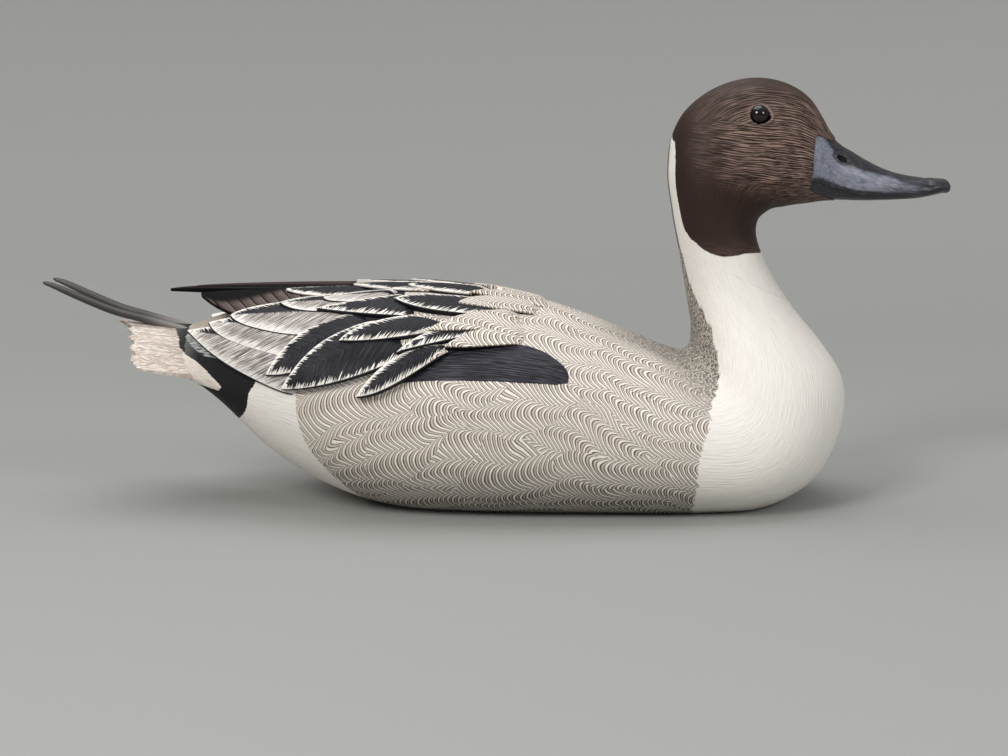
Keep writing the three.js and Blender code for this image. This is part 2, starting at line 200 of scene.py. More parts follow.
RUMP_TOP = np.array([
    [10, -20], [14, 14], [20, 19], [29, 22], [42, 28], [50, 31], [62, 36], [74, 40], [74, -20],
])  # fmt: skip
# Where the blue grey of the bill begins and ends below, and the line between its halves: station, angle.
BLUE_TOP = np.array([
    [478, 60], [490, 62], [500, 58], [508, 56], [514, 64], [525, 60], [540, 48], [549, 54], [557, 66],
    [568, 84],
])  # fmt: skip
BLUE_LOW = np.array([[478, 117], [497, 110], [511, 107], [521, 107], [541, 100], [556, 98], [568, 96]])
MOUTH = np.array([[476, 120.5], [504, 120.5], [519, 122], [526, 131], [537, 140], [550, 147], [576, 150]])


def through(rows, where):
    """Smooth curve through rows whose first column is the distance. Between two rows it is the cubic that
    meets both values with the slopes found from the neighbours, weighted by their spacing."""
    where = np.asarray(where, float)
    at, values = rows[:, 0], rows[:, 1:]
    gaps = np.diff(at)
    run = np.diff(values, axis=0) / gaps[:, None]
    slope = np.empty_like(values)
    slope[0], slope[-1] = run[0], run[-1]
    weighted = run[:-1] * gaps[1:, None] + run[1:] * gaps[:-1, None]
    slope[1:-1] = weighted / (gaps[:-1] + gaps[1:])[:, None]
    i = np.clip(np.searchsorted(at, where) - 1, 0, len(at) - 2)
    gap = gaps[i][..., None]
    q = (where - at[i])[..., None] / gap
    near = (2 * q**3 - 3 * q**2 + 1) * values[i] + (q**3 - 2 * q**2 + q) * gap * slope[i]
    far = (3 * q**2 - 2 * q**3) * values[i + 1] + (q**3 - q**2) * gap * slope[i + 1]
    return near + far


def around(degrees, widest, round_top, round_bottom):
    """Point of a squared ellipse: sine and cosine of the angle, each raised to 2 over the roundness. The
    angle runs from the top (0) to the bottom (180). Gives the sideways share and the height share."""
    angle = np.radians(degrees)
    up, out = np.cos(angle), np.sin(angle)
    power = 2 / np.where(up > 0, round_top, round_bottom)
    reach = np.where(up > 0, 1 - widest, widest)
    return np.sign(out) * np.abs(out) ** power, widest + np.sign(up) * reach * np.abs(up) ** power


def skin(station, degrees):
    """Surface of the bird: at each station a squared ellipse stands between the back line and the keel line,
    as wide as its row says, with its sides drooped by the square of the sideways share, and cut off at 0."""
    station, degrees = np.broadcast_arrays(np.asarray(station, float), np.asarray(degrees, float))
    back, keel = through(DORSAL, station), through(VENTRAL, station)
    width, widest, top, bottom, droop = np.moveaxis(through(SECTION, station), -1, 0)
    side, height = around(degrees, widest, top, bottom)
    line = keel + (back - keel) * height[..., None]
    z = np.maximum(line[..., 1] - droop * side**2, 0)
    return np.stack([line[..., 0], width * side, z], -1)


def coat(x, degrees, lift=0.0):
    """Surface under the wing feathers: an upright squared ellipse at each x, moved out by the lift along the
    normal, which is the cross product of its slopes along and around."""
    x, degrees, lift = np.broadcast_arrays(*(np.asarray(a, float) for a in (x, degrees, lift)))

    def place(px, pa):
        top, bottom, width, widest, above, below = np.moveaxis(through(COAT, px), -1, 0)
        side, height = around(pa, widest, above, below)
        return np.stack([px, width * side, bottom + (top - bottom) * height], -1)

    slope_along = place(x + 1, degrees) - place(x - 1, degrees)
    slope_around = place(x, degrees + 1) - place(x, degrees - 1)
    normal = np.cross(slope_along, slope_around)
    normal /= np.linalg.norm(normal, axis=-1, keepdims=True)
    return place(x, degrees) + normal * lift[..., None]


def ramp(value, start, end):
    """0 before start, 1 after end, and the smooth cubic between them."""
    q = np.clip((value - start) / (end - start), 0, 1)
    return q * q * (3 - 2 * q)


def bump(value, middle, width):
    """1 in the middle, falling away as a bell that is 0.37 high at the width."""
    return np.exp(-(((value - middle) / width) ** 2))


def normals(points):
    """Outward normal at each point of a grid whose columns go right round: cross product of the slopes."""
    along = np.gradient(points, axis=0)
    across = np.roll(points, -1, axis=1) - np.roll(points, 1, axis=1)
    normal = np.cross(along, across)
    return normal / np.maximum(np.linalg.norm(normal, axis=-1, keepdims=True), 1e-9)


def borders(station, degrees, points, table):
    """Distance in millimetres from a paint border, positive past it and never over 60: how far the station is
    past the border's station at that angle, divided by the steepness of that difference over the surface."""
    past = station - through(table, np.abs(degrees))[..., 0]
    along = np.gradient(points, axis=0)
    across = (np.roll(points, -1, axis=1) - np.roll(points, 1, axis=1)) / 2
    rise_along = np.gradient(past, axis=0)
    rise_across = (np.roll(past, -1, axis=1) - np.roll(past, 1, axis=1)) / 2
    e, f, g = ((a * b).sum(-1) for a, b in ((along, along), (along, across), (across, across)))
    climb = g * rise_along**2 - 2 * f * rise_along * rise_across + e * rise_across**2
    steep = np.sqrt(np.maximum(climb / (e * g - f * f + 1e-9), 1e-6))
    return np.clip(past / steep, -60, 60)


def run_length(points):
    """Millimetres along each row of a grid, from its middle column outwards both ways."""
    step = np.linalg.norm(np.diff(points, axis=1), axis=-1)
    total = np.concatenate([np.zeros((len(points), 1)), np.cumsum(step, axis=1)], axis=1)
    middle = points.shape[1] // 2
    return np.abs(total - total[:, middle : middle + 1])


def down_side(surface, along, degrees):
    """Millimetres over a surface from the middle of the back to each angle: the sum of 39 short steps."""
    turn = np.ravel(degrees)[:, None] * np.linspace(0, 1, 40)
    line = surface(np.ravel(along)[:, None] + 0 * turn, turn)
    return np.linalg.norm(np.diff(line, axis=1), axis=-1).sum(1).reshape(np.shape(degrees))


def inside_outline(x, y, outline):
    """Distance from a closed outline, positive inside: the least distance to its sides, with the sign from
    how many sides a line to the right crosses."""
    nearest, crossings = np.full(x.shape, 1e9), np.zeros(x.shape)
    for (ax, ay), (bx, by) in zip(outline, np.roll(outline, -1, axis=0)):
        t = np.clip(((x - ax) * (bx - ax) + (y - ay) * (by - ay)) / ((bx - ax) ** 2 + (by - ay) ** 2), 0, 1)
        nearest = np.minimum(nearest, np.hypot(x - ax - t * (bx - ax), y - ay - t * (by - ay)))
        cross = ax + (y - ay) * (bx - ax) / (by - ay if by != ay else 1e-9)
        crossings += ((ay > y) != (by > y)) & (x < cross)
    return np.where(crossings % 2 == 1, nearest, -nearest)


def sheet(points, values, crisp=()):
    """A closed surface from a grid of points in millimetres whose last column joins its first, with a fan
    over each end row and named values at its points. Columns named crisp, and the fans, are flat shaded.
    Faces are turned round where the volume they hold comes out negative."""
    rows, columns = points.shape[:2]
    index = np.arange(rows * columns).reshape(rows, columns)
    ahead = np.roll(index, -1, axis=1)
    quads = np.stack([index[:-1], ahead[:-1], ahead[1:], index[1:]], -1).reshape(-1, 4)
    smooth = np.ones((rows - 1, columns), bool)
    smooth[:, list(crisp)] = False
    flat = np.concatenate([points.reshape(-1, 3), points[[0, -1]].mean(1)])
    named = {
        key: np.concatenate([value.reshape(rows * columns, -1), value[[0, -1]].mean(1).reshape(2, -1)])
        for key, value in values.items()
    }
    first, last = index[0], index[-1]
    start = np.stack([np.full(columns, rows * columns), np.roll(first, -1), first], -1)
    end = np.stack([np.full(columns, rows * columns + 1), last, np.roll(last, -1)], -1)
    fans = np.concatenate([start, end])
    corners = flat[np.concatenate([quads[:, :3], quads[:, [0, 2, 3]], fans])]
    if np.einsum("ij,ij->", np.cross(corners[:, 0], corners[:, 1]), corners[:, 2]) < 0:
        quads, fans = quads[:, ::-1], fans[:, ::-1]
    return {"points": flat, "values": named, "quads": quads, "fans": fans, "smooth": smooth.ravel()}


def piece(name, sheets, material, slot, *stands_for):
    """Joins sheets into one mesh object that rides on the carving, with their values as attributes. It may
    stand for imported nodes."""
    offsets = np.cumsum([0] + [len(s["points"]) for s in sheets])
    points = np.concatenate([s["points"] for s in sheets]) * MM
    quads = np.concatenate([s["quads"] + o for s, o in zip(sheets, offsets)])
    fans = np.concatenate([s["fans"] + o for s, o in zip(sheets, offsets)])
    smooth = np.concatenate([s["smooth"] for s in sheets] + [np.zeros(len(fans), bool)])
    loops = np.concatenate([quads.ravel(), fans.ravel()])
    sizes = np.concatenate([np.full(len(quads), 4), np.full(len(fans), 3)])
    mesh = bpy.data.meshes.new(name)
    mesh.vertices.add(len(points))
    mesh.vertices.foreach_set("co", points.ravel())
    mesh.loops.add(len(loops))
    mesh.loops.foreach_set("vertex_index", loops)
    mesh.polygons.add(len(sizes))
    mesh.polygons.foreach_set("loop_start", np.concatenate([[0], np.cumsum(sizes)[:-1]]))
    mesh.polygons.foreach_set("loop_total", sizes)
    mesh.polygons.foreach_set("use_smooth", smooth)
    mesh.update(calc_edges=True)
    for key in sheets[0]["values"]:
        data = np.concatenate([s["values"][key] for s in sheets])
        vector = data.shape[1] == 3
        layer = mesh.attributes.new(key, "FLOAT_VECTOR" if vector else "FLOAT", "POINT")
        layer.data.foreach_set("vector" if vector else "value", data.ravel())
    mesh.materials.append(material)
    made = bpy.data.objects.new(name, mesh)
    bpy.context.scene.collection.objects.link(made)
    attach(made, "root")
    if stands_for:
        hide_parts(*stands_for)
    return made


def add(tree, kind, *inputs, out=0, **settings):
    """Adds one shader node, gives it its settings, then sets or links its inputs, in order or by name or
    number, and returns the output asked for."""
    node = tree.nodes.new("ShaderNode" + kind)
    for key, value in settings.items():
        setattr(node, key, value)
    wanted = inputs[0] if inputs and isinstance(inputs[0], dict) else dict(enumerate(inputs))
    for key, value in wanted.items():
        if isinstance(value, bpy.types.NodeSocket):
            tree.links.new(value, node.inputs[key])
        elif value is not None:
            node.inputs[key].default_value = value
    return node.outputs[out] if node.outputs else None


# A Map Range with this setting goes from one value to the other along a cubic that is level at both ends.
SMOOTH = {"interpolation_type": "SMOOTHSTEP"}
# Places are stored in millimetres, so a noise's scale is in grains to the millimetre: 0.05 is a grain of 20.
# The object's own coordinates are in metres.


def material_of(name, build):
    """A new material. build gets its node tree and gives the settings of the shader by name, among them the
    height in metres under Height, which becomes its relief."""
    material = bpy.data.materials.new(name)
    material.use_nodes = True
    tree = material.node_tree
    tree.nodes.clear()
    inputs = build(tree)
    height = inputs.pop("Height", None)
    if height is not None:
        relief = {"Strength": 1.0, "Distance": 1.0, "Height": height}
        inputs["Normal"] = add(tree, "Bump", relief, out="Normal")
    surface = add(tree, "BsdfPrincipled", inputs, out="BSDF")
    add(tree, "OutputMaterial", surface)
    return material


def stored(tree, name):
    """The three numbers that a sheet keeps at its points under one name."""
    vector = add(tree, "Attribute", attribute_name=name, out="Vector")
    return add(tree, "SeparateXYZ", vector).node.outputs


def coats(tree, colour_under, *layers):
    """Coats of paint over each other: each layer is how much of it shows, then its colour."""
    for share, paint in layers:
        colour_under = add(tree, "Mix", {0: share, 6: colour_under, 7: paint}, out=2, data_type="RGBA")
    return colour_under


def strokes(tree, place, long, wide, detail=2.0):
    """Noise drawn out along the first axis of the place: long and wide are its grain in millimetres."""
    drawn = add(tree, "VectorMath", place, (1 / long, 1 / wide, 1.0), operation="MULTIPLY", out="Vector")
    noise = {"Vector": drawn, "Scale": 1.0, "Detail": detail, "Roughness": 0.6}
    return add(tree, "TexNoise", noise, out="Fac")


def shuffled_rows(t, place, pitch, height):
    """Rows disturbed by random cells of 46 by 19 millimetres, about as long as 16 lines and nearly two rows
    deep. A cell turns its rows by up to 0.22 of a radian, shifts them by up to a line along and 0.8 of a row
    down, and makes them 0.8 to 1.4 times as high. Gives the place along, the place down in rows, the height
    of a row and the first two random numbers of the cell."""
    cell = (46.0, 19.0, 1.0)
    small = add(t, "VectorMath", place, cell, operation="DIVIDE", out="Vector")
    scatter = {"Vector": small, "Scale": 1.0, "Randomness": 1.0}
    found = add(t, "TexVoronoi", scatter, voronoi_dimensions="2D").node
    centre = add(t, "VectorMath", found.outputs["Position"], cell, operation="MULTIPLY", out="Vector")
    from_centre = add(t, "VectorMath", place, centre, operation="SUBTRACT")
    off_x, off_y, _ = add(t, "SeparateXYZ", from_centre).node.outputs
    first, second, third = add(t, "SeparateXYZ", found.outputs["Color"]).node.outputs
    along, down, _ = add(t, "SeparateXYZ", place).node.outputs
    turn = add(t, "Math", first, 0.44, -0.22, operation="MULTIPLY_ADD")
    back = add(t, "Math", turn, -1.0, operation="MULTIPLY")
    along = add(t, "Math", turn, off_y, along, operation="MULTIPLY_ADD")
    along = add(t, "Math", third, pitch, along, operation="MULTIPLY_ADD")
    down = add(t, "Math", back, off_x, down, operation="MULTIPLY_ADD")
    down = add(t, "Math", second, 0.8 * height, down, operation="MULTIPLY_ADD")
    tall = add(t, "Math", third, 0.6 * height, 0.8 * height, operation="MULTIPLY_ADD")
    rows = add(t, "Math", down, tall, operation="DIVIDE")
    return along, rows, tall, first, second


def vermiculation(t, place, sizes):
    """Rows of nested arcs that bulge toward the tail. The place runs along the bird and down its side, and
    wanders by some millimetres before the rows are laid. Within a row the arc is a share times one less the
    share, where the share is the depth in the row to the power 0.78, and it shifts the place along by 1.9 to
    2.5 row heights times that. A line stands where the shifted place over the pitch leaves a half, as wide in
    millimetres on the steep ends of its arc as in the middle. Gives the raised line, the faint line between
    two and the dark hairline on its one side, which is a cut line and also painted shadow of the raised line."""
    pitch, height = sizes.vermiculation_pitch / MM, sizes.vermiculation_row / MM
    half_line = 0.42  # half the width of a raised line, in millimetres
    wander = add(t, "TexNoise", {"Vector": place, "Scale": 0.035, "Detail": 1.0}, out="Color")
    wander = add(t, "VectorMath", wander, (0.5, 0.5, 0.5), operation="SUBTRACT", out="Vector")
    place = add(t, "VectorMath", wander, (10.0, 15.0, 0.0), place, operation="MULTIPLY_ADD", out="Vector")
    along, rows, tall, first, second = shuffled_rows(t, place, pitch, height)
    share = add(t, "Math", rows, operation="FRACT")
    high = add(t, "Math", share, 0.78, operation="POWER")
    rest = add(t, "Math", 1.0, high, operation="SUBTRACT")
    arc = add(t, "Math", high, rest, operation="MULTIPLY")
    bulge = add(t, "Math", first, 0.6, 1.9, operation="MULTIPLY_ADD")
    bulge = add(t, "Math", bulge, tall, operation="MULTIPLY")
    shifted = add(t, "Math", arc, bulge, along, operation="MULTIPLY_ADD")
    lean = add(t, "Math", second, -1.6, 0.2, operation="MULTIPLY_ADD")
    shifted = add(t, "Math", rows, lean, shifted, operation="MULTIPLY_ADD")
    wobble = add(t, "TexNoise", {"Vector": place, "Scale": 0.22, "Detail": 1.0}, out="Fac")
    shifted = add(t, "Math", wobble, 0.8, shifted, operation="MULTIPLY_ADD")
    slant = add(t, "Math", high, -2.0, 1.0, operation="MULTIPLY_ADD")
    slant = add(t, "Math", slant, bulge, operation="MULTIPLY")
    slant = add(t, "Math", slant, tall, operation="DIVIDE")
    slant = add(t, "Math", slant, slant, 1.0, operation="MULTIPLY_ADD")
    steep = add(t, "Math", slant, operation="SQRT")
    phase = add(t, "Math", shifted, pitch, operation="DIVIDE")
    phase = add(t, "Math", phase, operation="FRACT")
    signed = add(t, "Math", phase, 0.5, operation="SUBTRACT")
    off = add(t, "Math", signed, operation="ABSOLUTE")
    half = add(t, "Math", steep, half_line / pitch, operation="MULTIPLY")
    half = add(t, "Math", half, 0.22, operation="MINIMUM")
    edge = add(t, "Math", off, half, operation="SUBTRACT")
    line = add(t, "MapRange", edge, 0.05, -0.05, **SMOOTH)
    far = add(t, "Math", half, 0.5, off, operation="MULTIPLY_ADD")
    faint = add(t, "MapRange", far, 0.47, 0.52, **SMOOTH)
    # The hairline on one side of each line is also painted shadow of the raised line.
    beside = add(t, "Math", signed, half, operation="SUBTRACT")
    beside = add(t, "Math", beside, 0.09, operation="SUBTRACT")
    beside = add(t, "Math", beside, operation="ABSOLUTE")
    hairline = add(t, "MapRange", beside, 0.1, 0.04, **SMOOTH)
    return line, faint, hairline


def flank_colour(t, paint, place, lines, low):
    """Cream lines, faint lines and dark hairlines on a grey-brown ground, which is patchy and paler at the
    rear. The hairlines are partly painted shadow beside the raised lines, and low down painted shade darkens
    the ground and dims the cream lines."""
    line, faint, hairline = lines
    along = add(t, "SeparateXYZ", place).node.outputs[0]
    patchy = add(t, "TexNoise", {"Vector": place, "Scale": 0.05, "Detail": 3.0}, out="Fac")
    fine = add(t, "TexNoise", {"Vector": place, "Scale": 1.5, "Detail": 2.0}, out="Fac")
    dark = add(t, "MapRange", patchy, 0.45, 0.7, **SMOOTH)
    quiet = add(t, "MapRange", patchy, 0.42, 0.3, 0.0, 0.5, **SMOOTH)
    rear = add(t, "MapRange", along, -70.0, -108.0, 0.0, 0.85, **SMOOTH)
    quiet = add(t, "Math", rear, quiet, operation="MAXIMUM")
    loud = add(t, "Math", 1.0, quiet, operation="SUBTRACT")
    # Painted shade: the ground darkens low on the flank.
    shaded = add(t, "Math", low, 0.9, operation="MULTIPLY")
    mottles = (dark, linear("#958c81")), (quiet, linear("#b5aa9d")), (shaded, linear("#423c34"))
    ground = coats(t, paint.ground, *mottles)
    broken = add(t, "MapRange", fine, 0.3, 0.55, **SMOOTH)
    # The hairline is cut in and painted dark, partly as the shadow beside each raised line.
    depth = add(t, "Math", hairline, broken, operation="MULTIPLY")
    darker = add(t, "Math", loud, 0.35, 0.6, operation="MULTIPLY_ADD")
    depth = add(t, "Math", depth, darker, operation="MULTIPLY")
    thin = add(t, "Math", faint, 0.5, operation="MULTIPLY")
    firm = add(t, "MapRange", fine, 0.25, 0.6, 0.75, 1.0)
    calm = add(t, "Math", quiet, -0.45, 1.0, operation="MULTIPLY_ADD")
    firm = add(t, "Math", calm, firm, operation="MULTIPLY")
    raised = add(t, "Math", line, firm, operation="MULTIPLY")
    # Painted shade: the cream lines are dimmed low on the flank too.
    shade_on_lines = add(t, "Math", low, 0.3, operation="MULTIPLY")
    crest = coats(t, paint.cream, (shade_on_lines, linear("#b5aea3")))
    return coats(t, ground, (depth, paint.hairline), (thin, crest), (raised, crest))


def brushed_white(t, paint):
    """White acrylic with shaded brush strokes of 11 by 0.5 millimetres. Gives the colour and the strokes."""
    flow = add(t, "Attribute", attribute_name="flow", out="Vector")
    brushed = strokes(t, flow, 11.0, 0.5)
    streaked = add(t, "MapRange", brushed, 0.35, 0.75, 0.0, 0.3, **SMOOTH)
    return coats(t, paint.white, (streaked, linear("#c9c2b7"))), brushed


def nape_grit(t):
    """Grit of the stripe behind the neck, with grains of about a millimetre."""
    solid = add(t, "TexCoord", out="Object")
    noise = {"Vector": solid, "Scale": 0.95 / MM, "Detail": 3.0, "Roughness": 0.65}
    return add(t, "TexNoise", noise, out="Fac")


def rump_coats(t, paint, place, jag):
    """The feathers painted on the rump, as coats: its cream top, the pale streaked feathers and the outer
    tail feather, which has painted shade in its barbs. Their streaks are 5 by 0.5 millimetres."""
    outer_edge, pale_edge, top_edge = stored(t, "rump")
    hairs = strokes(t, place, 5.0, 0.5, 3.0)
    # Painted shade in the barbs of the outer tail feather.
    barb_shade = add(t, "MapRange", hairs, 0.48, 0.66, 0.0, 0.6, **SMOOTH)
    streaks = add(t, "MapRange", hairs, 0.46, 0.56, **SMOOTH)
    weak_streaks = add(t, "Math", streaks, 0.55, operation="MULTIPLY")
    top = coats(t, linear("#cbbfae"), (weak_streaks, linear("#6b625b")))
    pale = coats(t, linear("#b6b8b8"), (streaks, paint.black))
    outer = coats(t, linear("#e4dbd1"), (barb_shade, paint.blush))
    layers = []
    for edge, soft, tone in ((top_edge, 0.4, top), (pale_edge, 0.4, pale), (outer_edge, 0.2, outer)):
        at = add(t, "Math", edge, jag, operation="ADD")
        layers.append((add(t, "MapRange", at, -soft, soft, **SMOOTH), tone))
    return layers


def body_paint(paint, sizes):
    """Acrylic paint on burned and carved basswood: satin, with cream lines raised over a grey-brown ground on
    the flanks and back, brush strokes in the white, a granular stripe up the nape and matt black at the rump,
    smoky at the root of the tail, where the top is cream and the sides carry the outer tail feather and a few
    pale streaked ones. A smoother black patch lies low on the wing, with painted sheen along its fine barbs."""

    def build(t):
        place = add(t, "Attribute", attribute_name="grain", out="Vector")
        white_edge, black_edge, grey_edge = stored(t, "edges")
        patch_edge, granular, low = stored(t, "marks")
        line, faint, hairline = vermiculation(t, place, sizes)
        arcs = flank_colour(t, paint, place, (line, faint, hairline), low)
        grit = nape_grit(t)
        gritty = add(t, "MapRange", grit, 0.44, 0.56, **SMOOTH)
        grey = coats(t, arcs, (granular, coats(t, linear("#bdb4a8"), (gritty, paint.nape))))
        white, brushed = brushed_white(t, paint)

        jag = add(t, "TexNoise", {"Vector": place, "Scale": 0.33, "Detail": 2.0}, out="Fac")
        jag = add(t, "Math", jag, 6.0, -3.0, operation="MULTIPLY_ADD")
        fine_jag = add(t, "TexNoise", {"Vector": place, "Scale": 0.8, "Detail": 2.0}, out="Fac")
        fine_jag = add(t, "Math", fine_jag, 1.2, -0.6, operation="MULTIPLY_ADD")
        white_at = add(t, "Math", white_edge, jag, operation="ADD")
        in_white = add(t, "MapRange", white_at, -0.5, 0.5, **SMOOTH)
        grey_at = add(t, "Math", grey_edge, fine_jag, operation="ADD")
        in_rear = add(t, "MapRange", grey_at, 0.35, -0.35, **SMOOTH)
        black_at = add(t, "Math", black_edge, fine_jag, operation="ADD")
        in_black = add(t, "MapRange", black_at, 0.25, -0.25, **SMOOTH)
        patch_at = add(t, "Math", fine_jag, 0.5, patch_edge, operation="MULTIPLY_ADD")
        in_patch = add(t, "MapRange", patch_at, -0.2, 0.2, **SMOOTH)

        patch_barbs = strokes(t, place, 14.0, 0.45)
        # Painted sheen: grey highlight streaks along the barbs of the black patch.
        sheen = add(t, "MapRange", patch_barbs, 0.4, 0.75, 0.0, 0.8, **SMOOTH)
        patch = coats(t, paint.black, (sheen, paint.sheen))
        height = add(t, "SeparateXYZ", add(t, "TexCoord", out="Object")).node.outputs[2]
        high = add(t, "MapRange", height, 68 * MM, 82 * MM, **SMOOTH)
        along = add(t, "SeparateXYZ", place).node.outputs[0]
        smoke = add(t, "MapRange", along, -147.0, -158.0, 0.0, 0.8, **SMOOTH)
        smoke = add(t, "Math", smoke, high, operation="MULTIPLY")
        black = coats(t, paint.black, (smoke, linear("#6f6c67")))
        under_rump = (in_white, white), (in_rear, white), (in_black, black)
        surface = coats(t, grey, *under_rump, *rump_coats(t, paint, place, fine_jag), (in_patch, patch))

        plain = add(t, "Math", in_white, in_rear, operation="MAXIMUM")
        plain = add(t, "Math", plain, in_patch, operation="MAXIMUM")
        grained = add(t, "Math", 1.0, plain, operation="SUBTRACT")
        arcs_only = add(t, "Math", 1.0, granular, operation="SUBTRACT")
        arcs_only = add(t, "Math", arcs_only, grained, operation="MULTIPLY")
        relief = add(t, "Math", line, arcs_only, operation="MULTIPLY")
        relief = add(t, "Math", relief, sizes.vermiculation_depth, operation="MULTIPLY")
        cut = add(t, "Math", hairline, arcs_only, operation="MULTIPLY")
        relief = add(t, "Math", cut, -0.35 * sizes.vermiculation_depth, relief, operation="MULTIPLY_ADD")
        nape_relief = add(t, "Math", grit, granular, operation="MULTIPLY")
        relief = add(t, "Math", nape_relief, 0.4 * MM, relief, operation="MULTIPLY_ADD")
        brush_relief = add(t, "Math", brushed, plain, operation="MULTIPLY")
        relief = add(t, "Math", brush_relief, 2.2 * sizes.barb_depth, relief, operation="MULTIPLY_ADD")
        patch_relief = add(t, "Math", patch_barbs, in_patch, operation="MULTIPLY")
        relief = add(t, "Math", patch_relief, 0.3 * MM, relief, operation="MULTIPLY_ADD")
        shine = add(t, "MapRange", in_patch, 0.0, 1.0, 0.62, 0.36)
        return {"Base Color": surface, "Roughness": shine, "Height": relief, "Specular IOR Level": 0.24}

    return material_of("acrylic_on_burned_basswood", build)


def barb_height(t, lie, combed):
    """Height of the barbs along one lie: a noise drawn out to 12 by 0.36 millimetres, a finer one of a fifth
    of a millimetre, and lanes 1.2 millimetres apart that wander along it, as deep as the barbs are combed.
    Gives the height and the finer noise."""
    barb = strokes(t, lie, 12.0, 0.36, 1.0)
    hair = strokes(t, lie, 8.0, 0.2, 2.0)
    drift = strokes(t, lie, 20.0, 2.4, 1.0)
    across = add(t, "SeparateXYZ", lie).node.outputs[1]
    lane = add(t, "Math", across, 1 / 1.2, operation="MULTIPLY")
    lane = add(t, "Math", drift, 2.0, lane, operation="MULTIPLY_ADD")
    lane = add(t, "Math", lane, operation="FRACT")
    lane = add(t, "Math", lane, 0.5, operation="SUBTRACT")
    lane = add(t, "Math", lane, operation="ABSOLUTE")
    lane = add(t, "Math", lane, 0.25, operation="SUBTRACT")
    lane = add(t, "Math", lane, combed, operation="MULTIPLY")
    height = add(t, "Math", barb, 0.5, 0.08, operation="MULTIPLY_ADD")
    height = add(t, "Math", hair, 0.35, height, operation="MULTIPLY_ADD")
    return add(t, "Math", lane, -0.3, height, operation="MULTIPLY_ADD"), hair


def head_paint(paint, sizes):
    """Acrylic paint over carved barbs: dark brown in the cuts and dry-brushed paler brown on their tops, with
    a pale ring round the eyelid, brightest at its upper front as painted highlight, near black painted shade
    inside the lid, and the white and the granular stripe of the neck below. The barbs are laid twice, bending
    with the sections of the head and level along the cheek, and their heights are mixed by how far the
    surface is cheek."""

    def build(t):
        flow, level, place = (
            add(t, "Attribute", attribute_name=name, out="Vector") for name in ("flow", "level", "grain")
        )
        rim, cheek, combed = stored(t, "lids")
        white_edge, brown_edge, brush = stored(t, "edges")
        bent = add(t, "TexNoise", {"Vector": place, "Scale": 0.05, "Detail": 1.0}, out="Color")
        bent = add(t, "VectorMath", bent, (0.0, 3.0, 0.0), operation="MULTIPLY", out="Vector")
        flow_bent, level_bent = (
            add(t, "VectorMath", lie, bent, operation="ADD", out="Vector") for lie in (flow, level)
        )
        flow_height, _ = barb_height(t, flow_bent, combed)
        level_height, hair = barb_height(t, level_bent, combed)
        height = add(t, "Mix", cheek, None, flow_height, level_height, data_type="FLOAT")

        tops = add(t, "MapRange", height, 0.48, 0.58, **SMOOTH)
        worn = add(t, "TexNoise", {"Vector": place, "Scale": 0.12, "Detail": 3.0}, out="Fac")
        worn = add(t, "MapRange", worn, 0.3, 0.65, 0.55, 1.05, **SMOOTH)
        dry = add(t, "Math", tops, brush, operation="MULTIPLY")
        dry = add(t, "Math", dry, worn, operation="MULTIPLY")
        above_table = add(t, "SeparateXYZ", place).node.outputs[2]
        neck = add(t, "MapRange", above_table, 138.0, 120.0, **SMOOTH)
        bristle = add(t, "MapRange", hair, 0.45, 0.58, 0.0, 0.42, **SMOOTH)
        bristle = add(t, "Math", bristle, neck, operation="MULTIPLY")
        dry = add(t, "Math", dry, bristle, operation="MAXIMUM")
        deep = add(t, "MapRange", height, 0.48, 0.4, 0.0, 0.85, **SMOOTH)
        # Pale ring round the eyelid, brightest where the rim carries painted highlight.
        ring = add(t, "MapRange", hair, 0.35, 0.6, 0.25, 1.0)
        ring = add(t, "Math", rim, ring, operation="MULTIPLY")
        ring = add(t, "Math", ring, 0.0, operation="MAXIMUM")
        # Painted shade: the socket inside the lid is near black.
        socket_shade = add(t, "MapRange", rim, -0.15, -0.6, **SMOOTH)
        brown = coats(t, paint.brown, (deep, linear("#1c1310")), (dry, paint.dry_brush))
        brown = coats(t, brown, (ring, linear("#9c8a82")), (socket_shade, linear("#0a0807")))

        white, brushed = brushed_white(t, paint)
        gritty = add(t, "MapRange", nape_grit(t), 0.42, 0.55, **SMOOTH)
        speckled = coats(t, linear("#8f8b85"), (gritty, paint.nape))
        jag = add(t, "Math", hair, 1.6, -0.8, operation="MULTIPLY_ADD")
        white_at = add(t, "Math", white_edge, jag, operation="ADD")
        in_white = add(t, "MapRange", white_at, -0.3, 0.3, **SMOOTH)
        brown_at = add(t, "Math", brown_edge, jag, operation="ADD")
        in_brown = add(t, "MapRange", brown_at, -0.2, 0.25, **SMOOTH)
        surface = coats(t, speckled, (in_white, white), (in_brown, brown))

        bare = add(t, "Math", 1.0, in_brown, operation="SUBTRACT")
        soft = add(t, "Math", brushed, bare, operation="MULTIPLY")
        cut = add(t, "Math", height, in_brown, operation="MULTIPLY")
        depth = sizes.barb_depth
        strength = add(t, "Math", brush, 2.6 * depth, 1.2 * depth, operation="MULTIPLY_ADD")
        relief = add(t, "Math", cut, strength, operation="MULTIPLY")
        relief = add(t, "Math", soft, 2.2 * depth, relief, operation="MULTIPLY_ADD")
        return {"Base Color": surface, "Roughness": 0.52, "Height": relief, "Specular IOR Level": 0.22}

    return material_of("acrylic_over_carved_barbs", build)


